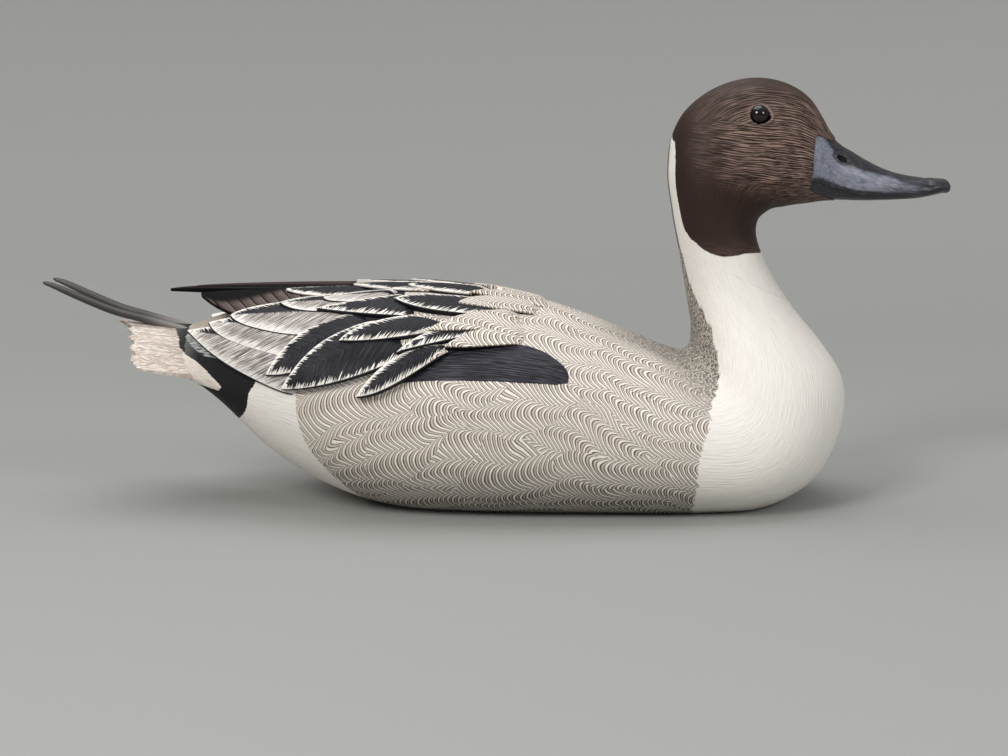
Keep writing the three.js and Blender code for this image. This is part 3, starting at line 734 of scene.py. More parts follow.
def bill_paint(paint):
    """Satin acrylic over smooth sanded wood: blue grey on the sides, slate on the ridge and below, mottled
    where the brush blended them and drawn out along the bill, with pale streaks on the sides that are partly
    painted reflection, a dark seam between the halves and black, duller nostrils, whose black is partly
    painted shade in their hollows."""

    def build(t):
        place = add(t, "Attribute", attribute_name="grain", out="Vector")
        blue, pit, mouth = stored(t, "marks")
        noise = {"Vector": place, "Scale": 0.13, "Detail": 4.0, "Roughness": 0.6}
        mottle = add(t, "TexNoise", noise, out="Fac")
        fine = strokes(t, place, 13.0, 1.3, 4.0)
        mixed = add(t, "Math", mottle, 0.8, -0.7, operation="MULTIPLY_ADD")
        mixed = add(t, "Math", fine, 0.6, mixed, operation="MULTIPLY_ADD")
        mixed = add(t, "Math", mixed, blue, operation="ADD")
        shown = add(t, "MapRange", mixed, 0.1, 1.0, **SMOOTH)
        # Pale streaks along the sides: partly painted reflection.
        pale = add(t, "MapRange", fine, 0.4, 0.66, 0.0, 0.55, **SMOOTH)
        dim = add(t, "MapRange", mottle, 0.5, 0.36, 0.0, 0.5, **SMOOTH)
        sides = coats(t, paint.bill, (pale, linear("#9a9eae")), (dim, linear("#5a5b65")))
        worn = add(t, "MapRange", fine, 0.5, 0.66, 0.0, 0.4, **SMOOTH)
        dark = coats(t, paint.bill_dark, (worn, linear("#5a5a62")))
        seam = add(t, "MapRange", mouth, 0.3, 0.9, 0.0, 0.85, **SMOOTH)
        # The nostril's black is its paint and partly painted shade in the hollow.
        nostril = add(t, "MapRange", pit, 0.05, 0.6, **SMOOTH)
        surface = coats(t, dark, (shown, sides), (seam, linear("#101013")), (nostril, linear("#070707")))
        relief = add(t, "Math", mottle, 0.2 * MM, operation="MULTIPLY")
        relief = add(t, "Math", fine, 0.08 * MM, relief, operation="MULTIPLY_ADD")
        shine = add(t, "MapRange", mottle, 0.3, 0.7, 0.3, 0.42)
        shine = add(t, "Math", pit, 0.55, shine, operation="MULTIPLY_ADD")
        return {"Base Color": surface, "Roughness": shine, "Height": relief, "Specular IOR Level": 0.42}

    return material_of("satin_acrylic_on_sanded_wood", build)


def eye_glass():
    """Blown glass eye, black to the rim: a clear hard gloss with small sharp lights in it."""

    def build(t):
        place = add(t, "TexCoord", out="Object")
        cloud = add(t, "TexNoise", {"Vector": place, "Scale": 0.26 / MM, "Detail": 2.0}, out="Fac")
        tint = add(t, "Math", cloud, 0.5, operation="MULTIPLY")
        surface = coats(t, linear("#050404"), (tint, linear("#120b08")))
        return {"Base Color": surface, "Roughness": 0.03, "IOR": 1.5}

    return material_of("black_glass", build)


def tertial_grey(t, paint, edge, slow, threads):
    """The streaked half of the tertials: it darkens in steps inward from the white edge, roughly, so that the
    steps become streaks along the threads."""
    tone = add(t, "MapRange", edge, 0.4, 6.0, **SMOOTH)
    patchy = add(t, "Math", slow, 0.7, -0.35, operation="MULTIPLY_ADD")
    tone = add(t, "Math", tone, 0.62, patchy, operation="MULTIPLY_ADD")
    rough = add(t, "Math", threads, -3.6, 1.86, operation="MULTIPLY_ADD")
    tone = add(t, "Math", tone, rough, operation="ADD")
    steps = ((0.05, 0.55, linear("#aba29d")), (0.5, 0.85, paint.streak), (0.8, 1.15, linear("#4a4340")))
    layers = [(add(t, "MapRange", tone, start, end, **SMOOTH), shade) for start, end, shade in steps]
    return coats(t, linear("#efebe6"), *layers)


def feather_paint(paint, sizes):
    """Acrylic on burned feather barbs: blue-black webs with painted sheen along their threads, or streaked
    grey webs, inside a comb of white strokes, each stroke a barb tip that slants out to the edge and narrows
    inward, and a dark line of painted shadow along the lower edge, with painted shade on the wall under it.
    Toward the root the black narrows to a point under the vermiculated cream of the back, which covers the
    foremost feathers whole. A white stroke stands where a noise along the feather, with grains of 0.7 and 0.5
    millimetres, passes a bar that rises with the distance from the edge."""

    def build(t):
        barb, edge, number = stored(t, "barbs")
        # The third of the webs marks the walls under each feather, which get painted shade.
        dark, pale, under = stored(t, "webs")
        cover = add(t, "Attribute", attribute_name="cover", out="Fac")
        grain = add(t, "Attribute", attribute_name="grain", out="Vector")
        line, faint, hairline = vermiculation(t, grain, sizes)
        key = add(t, "CombineXYZ", barb, number, 0.0)
        comb = add(t, "TexNoise", {"Vector": key, "Scale": 1.4, "Detail": 1.0, "Roughness": 0.5}, out="Fac")
        slow = add(t, "TexNoise", {"Vector": key, "Scale": 0.12, "Detail": 1.0}, out="Fac")
        thread = add(t, "CombineXYZ", barb, add(t, "Math", edge, 0.07, operation="MULTIPLY"), number)
        noise = {"Vector": thread, "Scale": 2.0, "Detail": 2.0, "Roughness": 0.6}
        threads = add(t, "TexNoise", noise, out="Fac")

        reach = add(t, "Math", slow, 1.3, 0.45, operation="MULTIPLY_ADD")
        reach = add(t, "Math", reach, pale, operation="MULTIPLY")
        reach = add(t, "Math", reach, sizes.fringe / MM, operation="MULTIPLY")
        bar = add(t, "Math", edge, reach, operation="DIVIDE")
        bar = add(t, "Math", bar, 0.24, 0.36, operation="MULTIPLY_ADD")
        mixed = add(t, "Math", comb, 0.65, operation="MULTIPLY")
        mixed = add(t, "Math", threads, 0.35, mixed, operation="MULTIPLY_ADD")
        fringe = add(t, "Math", mixed, bar, operation="SUBTRACT")
        fringe = add(t, "MapRange", fringe, -0.025, 0.03, **SMOOTH)
        bared = add(t, "MapRange", cover, 0.9, 0.4, **SMOOTH)
        fringe = add(t, "Math", fringe, bared, operation="MULTIPLY")
        # Painted shadow: a dark line at the very lower edge, under the white fringe.
        at_edge = add(t, "MapRange", edge, 0.9, 0.55, **SMOOTH)
        full_fringe = add(t, "MapRange", pale, 0.9, 0.98, **SMOOTH)
        outline = add(t, "Math", at_edge, full_fringe, operation="MULTIPLY")

        # Painted sheen: paler grey threads on the black webs.
        lit = add(t, "MapRange", threads, 0.46, 0.72, 0.0, 0.42, **SMOOTH)
        black = coats(t, paint.black, (lit, paint.sheen))
        web = coats(t, tertial_grey(t, paint, edge, slow, threads), (dark, black))
        lines = (hairline, paint.hairline), (faint, linear("#cfc6ba")), (line, paint.cream)
        cream = coats(t, paint.ground, *lines)
        cover = add(t, "Math", cover, -0.35, operation="ADD")
        cover = add(t, "Math", threads, 0.7, cover, operation="MULTIPLY_ADD")
        cover = add(t, "MapRange", cover, 0.44, 0.54, **SMOOTH)
        # Painted shade: the walls under the lower edge are made near black.
        burned = add(t, "MapRange", under, 0.04, 0.22, **SMOOTH)
        surface = coats(t, web, (cover, cream), (fringe, paint.white))
        surface = coats(t, surface, (outline, linear("#1d1b1f")), (burned, linear("#121115")))

        relief = add(t, "Math", threads, sizes.barb_depth, operation="MULTIPLY")
        relief = add(t, "Math", fringe, 0.1 * MM, relief, operation="MULTIPLY_ADD")
        raised = add(t, "Math", line, cover, operation="MULTIPLY")
        relief = add(t, "Math", raised, sizes.vermiculation_depth, relief, operation="MULTIPLY_ADD")
        shine = add(t, "MapRange", fringe, 0.0, 1.0, 0.46, 0.6)
        return {"Base Color": surface, "Roughness": shine, "Height": relief, "Specular IOR Level": 0.16}

    return material_of("acrylic_on_burned_feathers", build)


def primary_paint(paint, sizes):
    """Thin brown acrylic washes on the long wing feathers, with painted highlight on their threads. Where
    they are stacked under the blade, each feather end is a slanting band 3.7 millimetres wide that goes from
    a black line of painted shadow, under the raised edge of its neighbour, to paler brown, and all darken
    toward the blade and the tip with painted shade. The blade is painted dark toward its lower edge, and the
    walls under the edges are painted near black as shade."""

    def build(t):
        barb, edge, number = stored(t, "barbs")
        # Shade is painted shade: the blade darkens toward its lower edge, the stack toward the blade and the
        # tip.
        stacked, shade, under = stored(t, "webs")
        thread = add(t, "CombineXYZ", barb, add(t, "Math", edge, 0.15, operation="MULTIPLY"), number)
        noise = {"Vector": thread, "Scale": 1.4, "Detail": 3.0, "Roughness": 0.6}
        threads = add(t, "TexNoise", noise, out="Fac")
        # Painted highlight: paler threads.
        lit = add(t, "MapRange", threads, 0.42, 0.7, 0.0, 0.35, **SMOOTH)
        # Each band starts at a black line of painted shadow under the raised edge of its neighbour and pales
        # across.
        step = add(t, "Math", barb, 1 / 3.7, operation="MULTIPLY")
        step = add(t, "Math", step, operation="FRACT")
        gap = add(t, "MapRange", step, 0.18, 0.08, **SMOOTH)
        band = coats(t, linear("#372e2c"), (step, linear("#6a5e59")), (lit, linear("#7b6f69")))
        band = coats(t, band, (gap, linear("#131112")))
        brown = coats(t, paint.primary, (lit, linear("#5d5050")), (stacked, band))
        rim = add(t, "MapRange", edge, 0.7, 0.2, 0.0, 0.35, **SMOOTH)
        plain = add(t, "Math", 1.0, stacked, operation="SUBTRACT")
        rim = add(t, "Math", rim, plain, operation="MULTIPLY")
        # Painted shade on the walls under the edges.
        burned = add(t, "MapRange", under, 0.04, 0.3, **SMOOTH)
        surface = coats(t, brown, (shade, linear("#0b090a")), (rim, linear("#4c4342")))
        surface = coats(t, surface, (burned, linear("#0b0a0b")))
        relief = add(t, "Math", threads, sizes.barb_depth, operation="MULTIPLY")
        bands = add(t, "Math", step, stacked, operation="MULTIPLY")
        relief = add(t, "Math", bands, 0.4 * MM, relief, operation="MULTIPLY_ADD")
        return {"Base Color": surface, "Roughness": 0.7, "Height": relief, "Specular IOR Level": 0.1}

    return material_of("thin_acrylic_on_wing_tips", build)


def fan_paint(paint, sizes):
    """Cream acrylic on a fan of burned feathers, with painted shade in the barbs and where one feather laps
    the next, paler at the tips, and black over the roots with a little smoke grey in the middle. The barbs
    are a noise drawn out to 5 by 0.45 millimetres."""

    def build(t):
        place = add(t, "Attribute", attribute_name="barbs", out="Vector")
        from_tip = add(t, "SeparateXYZ", place).node.outputs[0]
        black_edge, smoke, lap = stored(t, "webs")
        threads = strokes(t, place, 5.0, 0.45, 3.0)
        # Painted shade in the barbs.
        blush = add(t, "MapRange", threads, 0.44, 0.66, 0.0, 0.9, **SMOOTH)
        tips = add(t, "MapRange", from_tip, 9.0, 1.0, 0.4, 0.95, **SMOOTH)
        pale = add(t, "MapRange", threads, 0.5, 0.4, **SMOOTH)
        pale = add(t, "Math", pale, tips, operation="MULTIPLY")
        # Painted shade where one feather laps the next.
        lapped = add(t, "Math", lap, 0.45, operation="MULTIPLY")
        cream = coats(t, paint.fan, (blush, paint.blush), (pale, linear("#f3ece5")))
        cream = coats(t, cream, (lapped, linear("#a2948a")))
        jag = add(t, "Math", threads, 2.0, -1.0, operation="MULTIPLY_ADD")
        black_at = add(t, "Math", black_edge, jag, operation="ADD")
        in_black = add(t, "MapRange", black_at, -0.3, 0.5, **SMOOTH)
        surface = coats(t, cream, (in_black, paint.black), (smoke, linear("#77736e")))
        relief = add(t, "Math", threads, 2.2 * sizes.barb_depth, operation="MULTIPLY")
        return {"Base Color": surface, "Roughness": 0.6, "Height": relief, "Specular IOR Level": 0.3}

    return material_of("cream_acrylic_on_tail_fan", build)


def sprig_paint(paint):
    """Satin brown-grey acrylic on slender whittled feathers, worn paler toward the root."""

    def build(t):
        place = add(t, "Attribute", attribute_name="barbs", out="Vector")
        from_root = add(t, "SeparateXYZ", place).node.outputs[0]
        grain = strokes(t, place, 14.0, 0.8)
        pale = add(t, "MapRange", from_root, 34.0, 8.0, **SMOOTH)
        # Painted highlight along the grain.
        lit = add(t, "MapRange", grain, 0.5, 0.75, 0.0, 0.35, **SMOOTH)
        surface = coats(t, paint.sprig, (lit, linear("#5b5653")), (pale, linear("#86817b")))
        relief = add(t, "Math", grain, 0.1 * MM, operation="MULTIPLY")
        return {"Base Color": surface, "Roughness": 0.42, "Height": relief}

    return material_of("satin_acrylic_on_whittled_sprigs", build)


def floor_paint(paint):
    """Matt studio paint: grey, faintly clouded, and paler where the floor rises behind the bird, as painted
    light on the backdrop.
    """

    def build(t):
        place = add(t, "TexCoord", out="Object")
        cloud = add(t, "TexNoise", {"Vector": place, "Scale": 3.0, "Detail": 4.0}, out="Fac")
        share = add(t, "Math", cloud, 0.3, operation="MULTIPLY")
        from_middle = add(t, "VectorMath", place, operation="LENGTH", out="Value")
        # Painted light: the rising backdrop is painted paler.
        wall = add(t, "MapRange", from_middle, 0.35, 2.1, **SMOOTH)
        tone = coats(t, paint.floor, (share, linear("#949592")), (wall, linear("#d0d0ce")))
        return {"Base Color": tone, "Roughness": 0.85}

    return material_of("matt_studio_floor", build)


# Angles of the columns of the skin, the same for the body, head and bill so that their joints meet.
SKIN_COLUMNS = 240
SKIN_ANGLES = np.linspace(-180, 180, SKIN_COLUMNS, endpoint=False)
NECK_JOINT = 372  # station where the head's mesh takes over from the body's
BILL_END = 572  # last station of the two lines
EYE_CENTRE = np.array([132.6, 15.3, 197.2])
EYE_RADIUS = 5.2
NOSTRIL = np.array([175.9, 9.4, 175.4])
NOSTRIL_TILT = np.radians(24)
NOSTRIL_HALF = (3.5, 1.6)  # half its length and half its height
FAR = 30.0  # millimetres from a border that are sure to be past its softness


def stroke_place(along, turn, side):
    """Place for brush strokes: along the bird, then half a millimetre for each degree round it, then a number
    that keeps the two sides apart."""
    return np.stack([along, turn * 0.52, np.sign(side) * 9], -1)


def body_sheet(rows=395):
    """The skin from the rump to the middle of the neck, with the distances from its paint borders. The outer
    tail feather stands up by half a millimetre, in a smooth step along its outline. The rows of lines are
    stretched down the side, so that sections of other girths have as many. The granular stripe of the nape
    spreads at the foot of the neck and thins out along the back."""
    station, degrees = np.meshgrid(np.linspace(0, NECK_JOINT, rows), SKIN_ANGLES, indexing="ij")
    points = skin(station, degrees)
    turn = np.abs(degrees)
    outlines = (OUTER_FEATHER, PALE_FEATHERS, RUMP_TOP)
    per_degree = 0.55  # millimetres round the rump to a degree
    rump = [inside_outline(station, turn * per_degree, o * (1, per_degree)) for o in outlines]
    rump = np.where(station[..., None] < 90, np.stack(rump, -1), -FAR)
    points = points + normals(points) * (0.5 * ramp(rump[..., 0], -0.4, 0.4))[..., None]
    around_mm = run_length(points)
    corner = np.stack([skin(*PATCH.T)[:, 0], down_side(skin, *PATCH.T)], -1)
    patch = inside_outline(points[..., 0], around_mm, corner)
    patch = np.where((station > 100) & (station < 240), patch, -FAR)
    neck_foot = ramp(station, 258, 300) * ramp(turn, 80, 42)
    spine = 0.9 * ramp(turn, 34, 16) * ramp(station, 226, 262)
    # How low on the side the point is: there painted shade darkens the flank.
    low = ramp(points[..., 2], 40, 4)
    half_girth = np.clip(around_mm[:, [0]], 80, 150)
    down_rows = around_mm * 115 / half_girth
    tables = (WHITE_STARTS, BLACK_ENDS, GREY_STARTS)
    values = {
        "grain": np.stack([points[..., 0], down_rows, np.zeros_like(around_mm)], -1),
        "flow": stroke_place(station, turn, degrees),
        "edges": np.stack([borders(station, degrees, points, table) for table in tables], -1),
        "marks": np.stack([patch, np.clip(neck_foot + spine, 0, 1), low], -1),
        "rump": rump,
    }
    return sheet(points, values)


def head_sheet(sizes, rows=330):
    """The skin from the joint in the neck to the edge of the bill. It rises in a bell round the eye and sinks
    inside it, stands over the bill by the lip, and turns in under its own edge. The eyelid is a circle drawn
    out ahead and a little below into a corner. Besides the paint borders it stores how much dry brush lies on
    the barbs, the rim of the eyelid, paler toward its upper front as painted highlight and negative inside
    it, where the socket gets painted shade, how far the surface is cheek, where the barbs run level, and how
    combed they are."""
    ends = through(BILL_STARTS, np.abs(SKIN_ANGLES))[..., 0]
    share = np.linspace(0, 1, rows)[:, None]
    station = NECK_JOINT + (ends - NECK_JOINT) * share
    degrees = np.broadcast_to(SKIN_ANGLES, station.shape)
    points = skin(station, degrees)
    out = normals(points)
    turn = np.abs(degrees)
    from_end = ends - station
    ahead = points[..., 0] - EYE_CENTRE[0]
    above = points[..., 2] - EYE_CENTRE[2]
    bearing = np.degrees(np.arctan2(above, ahead))
    from_eye = np.hypot(ahead / 1.05, above / 0.97) - 0.9 * bump(bearing, -14, 22)
    lid = sizes.lid / MM
    beside = np.abs(points[..., 1]) > 6
    raised = 0.6 * bump(from_eye, lid, 0.8) - 0.3 * bump(from_eye, lid + 2.0, 1.1)
    socket = -2.2 * ramp(from_eye, lid - 0.4, lid - 1.5)
    lip = sizes.lip / MM * ramp(from_end, 6, 0.8) * ramp(turn, 150, 115) - 0.3 * ramp(from_end, 0.5, 0)
    points = points + out * (np.where(beside, raised + socket, 0) + lip)[..., None]
    around_mm = run_length(points)
    white = borders(station, degrees, points, WHITE_STARTS)
    brown = borders(station, degrees, points, BROWN_ENDS)
    x, z = points[..., 0], points[..., 2]
    above_jaw = z + 0.35 * (x - 140)
    brush = 0.92 * ramp(x, 92, 126) * ramp(above_jaw, 148, 168) * ramp(z, 222, 192)
    # Painted highlight: the rim is paler toward its upper front.
    facing = bump(bearing, 35, 60)
    rim = bump(from_eye, lid, 0.7) * (0.25 + 0.75 * facing) - ramp(from_eye, lid - 0.4, lid - 0.9)
    rim = np.where(beside, rim, 0)
    cheek = ramp(x, 92, 104) * ramp(x, 158, 140) * ramp(z, 156, 168) * ramp(z, 200, 188)
    combed = ramp(x, 94, 128)
    values = {
        "grain": np.stack([x, around_mm, z], -1),
        "flow": stroke_place(station, turn, degrees),
        "level": np.stack([-x, 0.1 * (125 - x) - z, np.sign(degrees) * 9], -1),
        "edges": np.stack([white, brown, brush], -1),
        "lids": np.stack([rim, cheek, combed], -1),
    }
    inward = [points[-1] - out[-1] * depth for depth in (0.9, 2.5)]
    points = np.concatenate([points, np.stack(inward)])
    values = {k: np.concatenate([v, v[-1:], v[-1:]]) for k, v in values.items()}
    return sheet(points, values)


def bill_sheet(sizes, rows=170):
    """The bill, from under the lip of the face to its tip: a line between its halves is a narrow bell pressed
    in along its angles, the lower half stands back from it, the nostril is a pressed oval with a raised rim,
    and the nail is a low rise at the tip. The end closes along a quarter of an ellipse."""
    starts = through(BILL_STARTS, np.abs(SKIN_ANGLES))[..., 0] - 5
    share = np.linspace(0, 1, rows)[:, None]
    station = starts + (BILL_END - starts) * share
    degrees = np.broadcast_to(SKIN_ANGLES, station.shape)
    points = skin(station, degrees)
    end = np.sin(np.linspace(0, math.pi / 2, 22))[1:, None]
    last = points[-1]
    middle = last.mean(0)
    forward = np.array([3.6, 0, -0.9])
    closing = middle + (last - middle)[None] * np.sqrt(1 - end**2.4)[..., None] + forward * end[..., None]
    points = np.concatenate([points, closing])
    station = np.concatenate([station, BILL_END + 4 * end + 0 * starts])
    turn = np.abs(np.broadcast_to(SKIN_ANGLES, station.shape))
    out = normals(points)
    around_mm = run_length(points)
    per_degree = around_mm[:, [SKIN_COLUMNS // 4]] / 90
    under_mouth = (turn - through(MOUTH, station)[..., 0]) * per_degree
    shut = ramp(station, 560, 546)
    mouth = bump(under_mouth, 0, 0.5) * shut
    lower = ramp(under_mouth, 0, 0.8) * shut
    ahead = points[..., 0] - NOSTRIL[0]
    above = points[..., 2] - NOSTRIL[2]
    along = ahead * math.cos(NOSTRIL_TILT) - above * math.sin(NOSTRIL_TILT)
    up = ahead * math.sin(NOSTRIL_TILT) + above * math.cos(NOSTRIL_TILT)
    oval = np.hypot(along / NOSTRIL_HALF[0], up / NOSTRIL_HALF[1])
    beside = np.abs(points[..., 1]) > 3
    pit = np.where(beside, ramp(oval, 1.05, 0.6), 0)
    rim = np.where(beside, bump(oval, 1.5, 0.4), 0)
    nail = (0.25 * ramp(station, 562, 566) - 0.2 * bump(station, 562.5, 1.5)) * ramp(turn, 100, 70)
    press = -sizes.mouth / MM * mouth - 0.4 * lower - 1.6 * pit + 0.2 * rim + nail
    press = press - 0.5 * ramp(station - starts, 5, 2)
    press[-6:] = press[-7]
    press = press * np.concatenate([np.ones(rows), np.sqrt(1 - end[:, 0] ** 2)])[:, None]
    points = points + out * press[..., None]
    top, low = through(BLUE_TOP, station)[..., 0], through(BLUE_LOW, station)[..., 0]
    blue = ramp((turn - top) * per_degree, -2.2, 2.4) * ramp((turn - low) * per_degree, 1.4, -2.4)
    blue = blue * (1 - 0.45 * ramp(station, 530, 552)) * (1 - ramp(station, 550, 568)) * (1 - 0.8 * rim)
    values = {
        "grain": np.stack([points[..., 0], around_mm, points[..., 2]], -1),
        "marks": np.stack([blue, pit, mouth], -1),
    }
    return sheet(points, values)


def eye_sheet(side, rows=48, columns=64):
    """A ball: the radius times the sine and cosine of the angle down from its pole and round it."""
    down = np.linspace(0.02, math.pi - 0.02, rows)[:, None]
    turn = np.linspace(0, 2 * math.pi, columns, endpoint=False)[None]
    out = np.stack([np.sin(down) * np.cos(turn), np.cos(down) + 0 * turn, np.sin(down) * np.sin(turn)], -1)
    return sheet(EYE_CENTRE * (1, side, 1) + EYE_RADIUS * out, {})


def wing_base_sheet(rows=110, columns=120):
    """The thickness of the folded wings: at each x an arc of the coat between the two lower edges, sunk under
    it, closed below by a chord. It carries the upper part of the black patch, and behind x -45 it is painted
    black under the feathers, as painted shade in the gaps between them."""
    x = np.linspace(WING_EDGE[0, 0], WING_EDGE[-1, 0], rows)
    edge, sunk = through(WING_EDGE, x).T
    share = np.linspace(-1, 1, columns)
    degrees = edge[:, None] * share
    points = coat(x[:, None] + 0 * degrees, degrees, -sunk[:, None])
    around_mm = run_length(points)
    x_of, turn_of = skin(*PATCH.T)[:, 0], PATCH[:, 1]
    corner = np.stack([x_of, down_side(coat, x_of, turn_of)], -1)
    patch = inside_outline(points[..., 0], around_mm, corner)
    from_edge = around_mm[:, [0]] - around_mm
    # Painted shade: behind x -45 the base is black under the feathers, where only gaps show.
    patch = np.maximum(patch, np.minimum(-45 - points[..., 0], from_edge - 4))
    zero = np.zeros_like(degrees)
    values = {
        "grain": np.stack([points[..., 0], around_mm, zero], -1),
        "flow": np.stack([points[..., 0], np.abs(degrees), zero], -1),
        "edges": np.stack([zero - FAR, zero + FAR, zero + FAR], -1),
        "marks": np.stack([patch, zero, zero], -1),
        "rump": np.stack([zero - FAR, zero - FAR, zero - FAR], -1),
    }
    return sheet(points, values, crisp=[columns - 1])


# Feathers of one wing, rear ones first. Every place is an x and an angle round from the middle of the back:
# the tip, the bend and root end of the upper edge, then those of the lower edge. The rise over the coat and
# the depth under it are given at the root and at the tip. The last value is the share of the width, from the
# lower edge, past which a streaked feather is black; the others have none.
FEATHERS = [
    ("tertial", (-153, 64.5), (-122, 44), (-90, 45), (-130, 98), (-88, 86), (-0.6, 0.9), (3.6, 1.7), 0.68),
    ("tertial", (-142, 55), (-117, 38), (-84, 36), (-137, 77), (-76, 63), (-0.2, 1.5), (3.2, 1), 0.64),
    ("tertial", (-131, 48), (-124, 33), (-62, 17), (-125, 63), (-52, 45), (0.1, 2), (3, 0.4), 0.58),
    ("cape", (-105, 19), (-107, 14), (-55, 5), (-97, 27), (-55, 19), (0.2, 1.9), (4.5, 3), None),
    ("tertial", (-107, 34), (-98, 25), (-66, 18), (-100, 43), (-62, 32), (0.6, 2.5), (4.5, 3), 0.6),
    (
        "tertial", (-85.4, 27.6), (-62.2, 16.5), (-45.1, 13.7), (-86.1, 33.9), (-49, 24.3), (0.8, 2.8),
        (4.5, 3), 0.6,
    ),
    ("scapular", (-111, 82), (-97, 38), (-54, 32), (-100, 79), (-53, 45), (0.2, 1.9), (4.5, 3), None),
    ("scapular", (-103, 87), (-87, 44), (-46, 37), (-74, 75), (-33, 54), (0.5, 2.4), (4.5, 3), None),
    ("scapular", (-88, 37), (-71, 27), (-37, 17), (-69, 38), (-33, 37), (0.9, 2.9), (4.5, 3), None),
    ("scapular", (-75, 55), (-65, 38), (-20, 33), (-61, 54), (-16, 43), (1, 3.1), (4.5, 3), None),
    ("scapular", (-66, 80), (-53, 56), (-20, 47), (-50, 77), (-14, 48.5), (0.4, 2.3), (4.5, 4.6), None),
    ("cape", (-72, 9), (-62, 0), (-24, -1), (-56, 17), (-20, 13), (0.4, 1.7), (4.5, 3), None),
    ("scapular", (-50, 27), (-42, 18), (14, 19), (-36, 38), (11, 31), (0.8, 3), (4.5, 3), None),
    ("cape", (-44, 10), (-34, 0), (4, -1), (-30, 19), (8, 12), (0.5, 2.2), (4.5, 3), None),
    ("scapular", (-47, 58), (-31, 40), (6, 35), (-29, 52), (4, 41), (0.6, 2.9), (4.5, 3), None),
    ("cream", (-32, 46), (-18, 33), (18, 23), (-10, 45), (18, 35), (1.4, 3.6), (5, 3.5), None),
    ("cream", (-24, 53.5), (-8, 40), (20, 33), (-8, 53), (20, 44), (0.8, 3.3), (5, 3.5), None),
    ("cream", (-18, 27.5), (-8, 14), (28, 12), (0, 29), (28, 23), (1.2, 3.2), (5, 3.5), None),
    ("cream", (-12, 15), (0, 2), (34, -1), (6, 18), (34, 13), (0.8, 2.4), (5, 3.5), None),
]  # fmt: skip
# The long blade, and the stack of feather ends under it.
PRIMARIES = [
    ("blade", (-167, 5), (-150, 0.5), (-72, 0.5), (-158, 13), (-72, 15), (0.3, 0), (5, 1.6), None),
    ("stack", (-150, 17), (-135, 10), (-68, 8), (-135, 62), (-68, 40), (-0.3, -1.2), (6, 3.4), None),
]
LEFT_LONG_TIP_SHORTER = 13
CROWN = 0.7  # how far a feather's middle stands over its edges
CROWN_WITHIN = 2.2  # the distance from the edge within which most of that is reached
EDGE_SUNK = 0.25  # how far those edges lie under its rise
NOISE_APART = 3.7  # step between the noises of two feathers


def bezier(a, b, c, t):
    """Quadratic curve: the start, bend and end weighted by the square of what is left, twice the product, and
    the square of what is run."""
    a, b, c, t = (np.asarray(v, float) for v in (a, b, c, t))
    t = t[..., None]
    return a * (1 - t) ** 2 + 2 * b * t * (1 - t) + c * t**2


def feather_marks(row, t, v, place, base, to_low, to_high):
    """What the paint needs at each point of a feather: the place along its barbs, which slant out from the
    shaft to the edges, how black it is, how full its white fringe is, and how far the cream of the back
    covers it. On the long feathers the second says whether it is the stack, whose bands slant across it, and
    the third how much painted shade darkens it: the blade toward its lower edge, the stack toward the blade
    and the tip."""
    kind, tip, shaft = row[0], row[1], row[-1]
    middle = base[:, len(v) // 2]
    axis = middle[0] - middle[-1]
    axis /= np.linalg.norm(axis)
    from_tip = (base - middle[-1]) @ axis
    width = np.linalg.norm(base[:, -1] - base[:, 0], axis=-1)[:, None]
    lateral = (v - (0.55 if shaft is None else shaft)) * width
    barb = from_tip + (1.35 if kind == "tertial" else 1.1) * np.abs(lateral)
    black, cover = np.ones_like(barb), np.zeros_like(barb)
    fringe = np.where(to_low < to_high, 1.0, 0.75)
    if kind == "tertial":
        black = ramp(lateral, -0.2, 0.2) * ramp(from_tip, 44, 36)
    elif kind == "cape":
        fringe = 0.85 * fringe
    elif kind == "cream":
        cover, fringe = np.ones_like(barb), 0.3 * fringe
    elif kind == "blade":
        # Painted shade toward the blade's lower edge.
        black, fringe = 0 * barb, ramp(v + 0 * barb, 0.72, 0.4)
    elif kind == "stack":
        # Painted shade under the blade and toward the tip of the stack.
        under_blade = ramp(v - 0.0215 * (place[..., 0] + 141), 0, 0.24)
        fringe = np.maximum(under_blade, 0.9 * ramp(from_tip, 13, 3))
        barb = 0.54 * base[..., 0] + 0.84 * base[..., 2]
    if kind in ("scapular", "cape") and tip[0] > -80:
        cover = ramp(t[:, None] + 0.3 * np.abs(2 * v - 1), 0.92, 1.02)
    return barb, black, fringe, cover


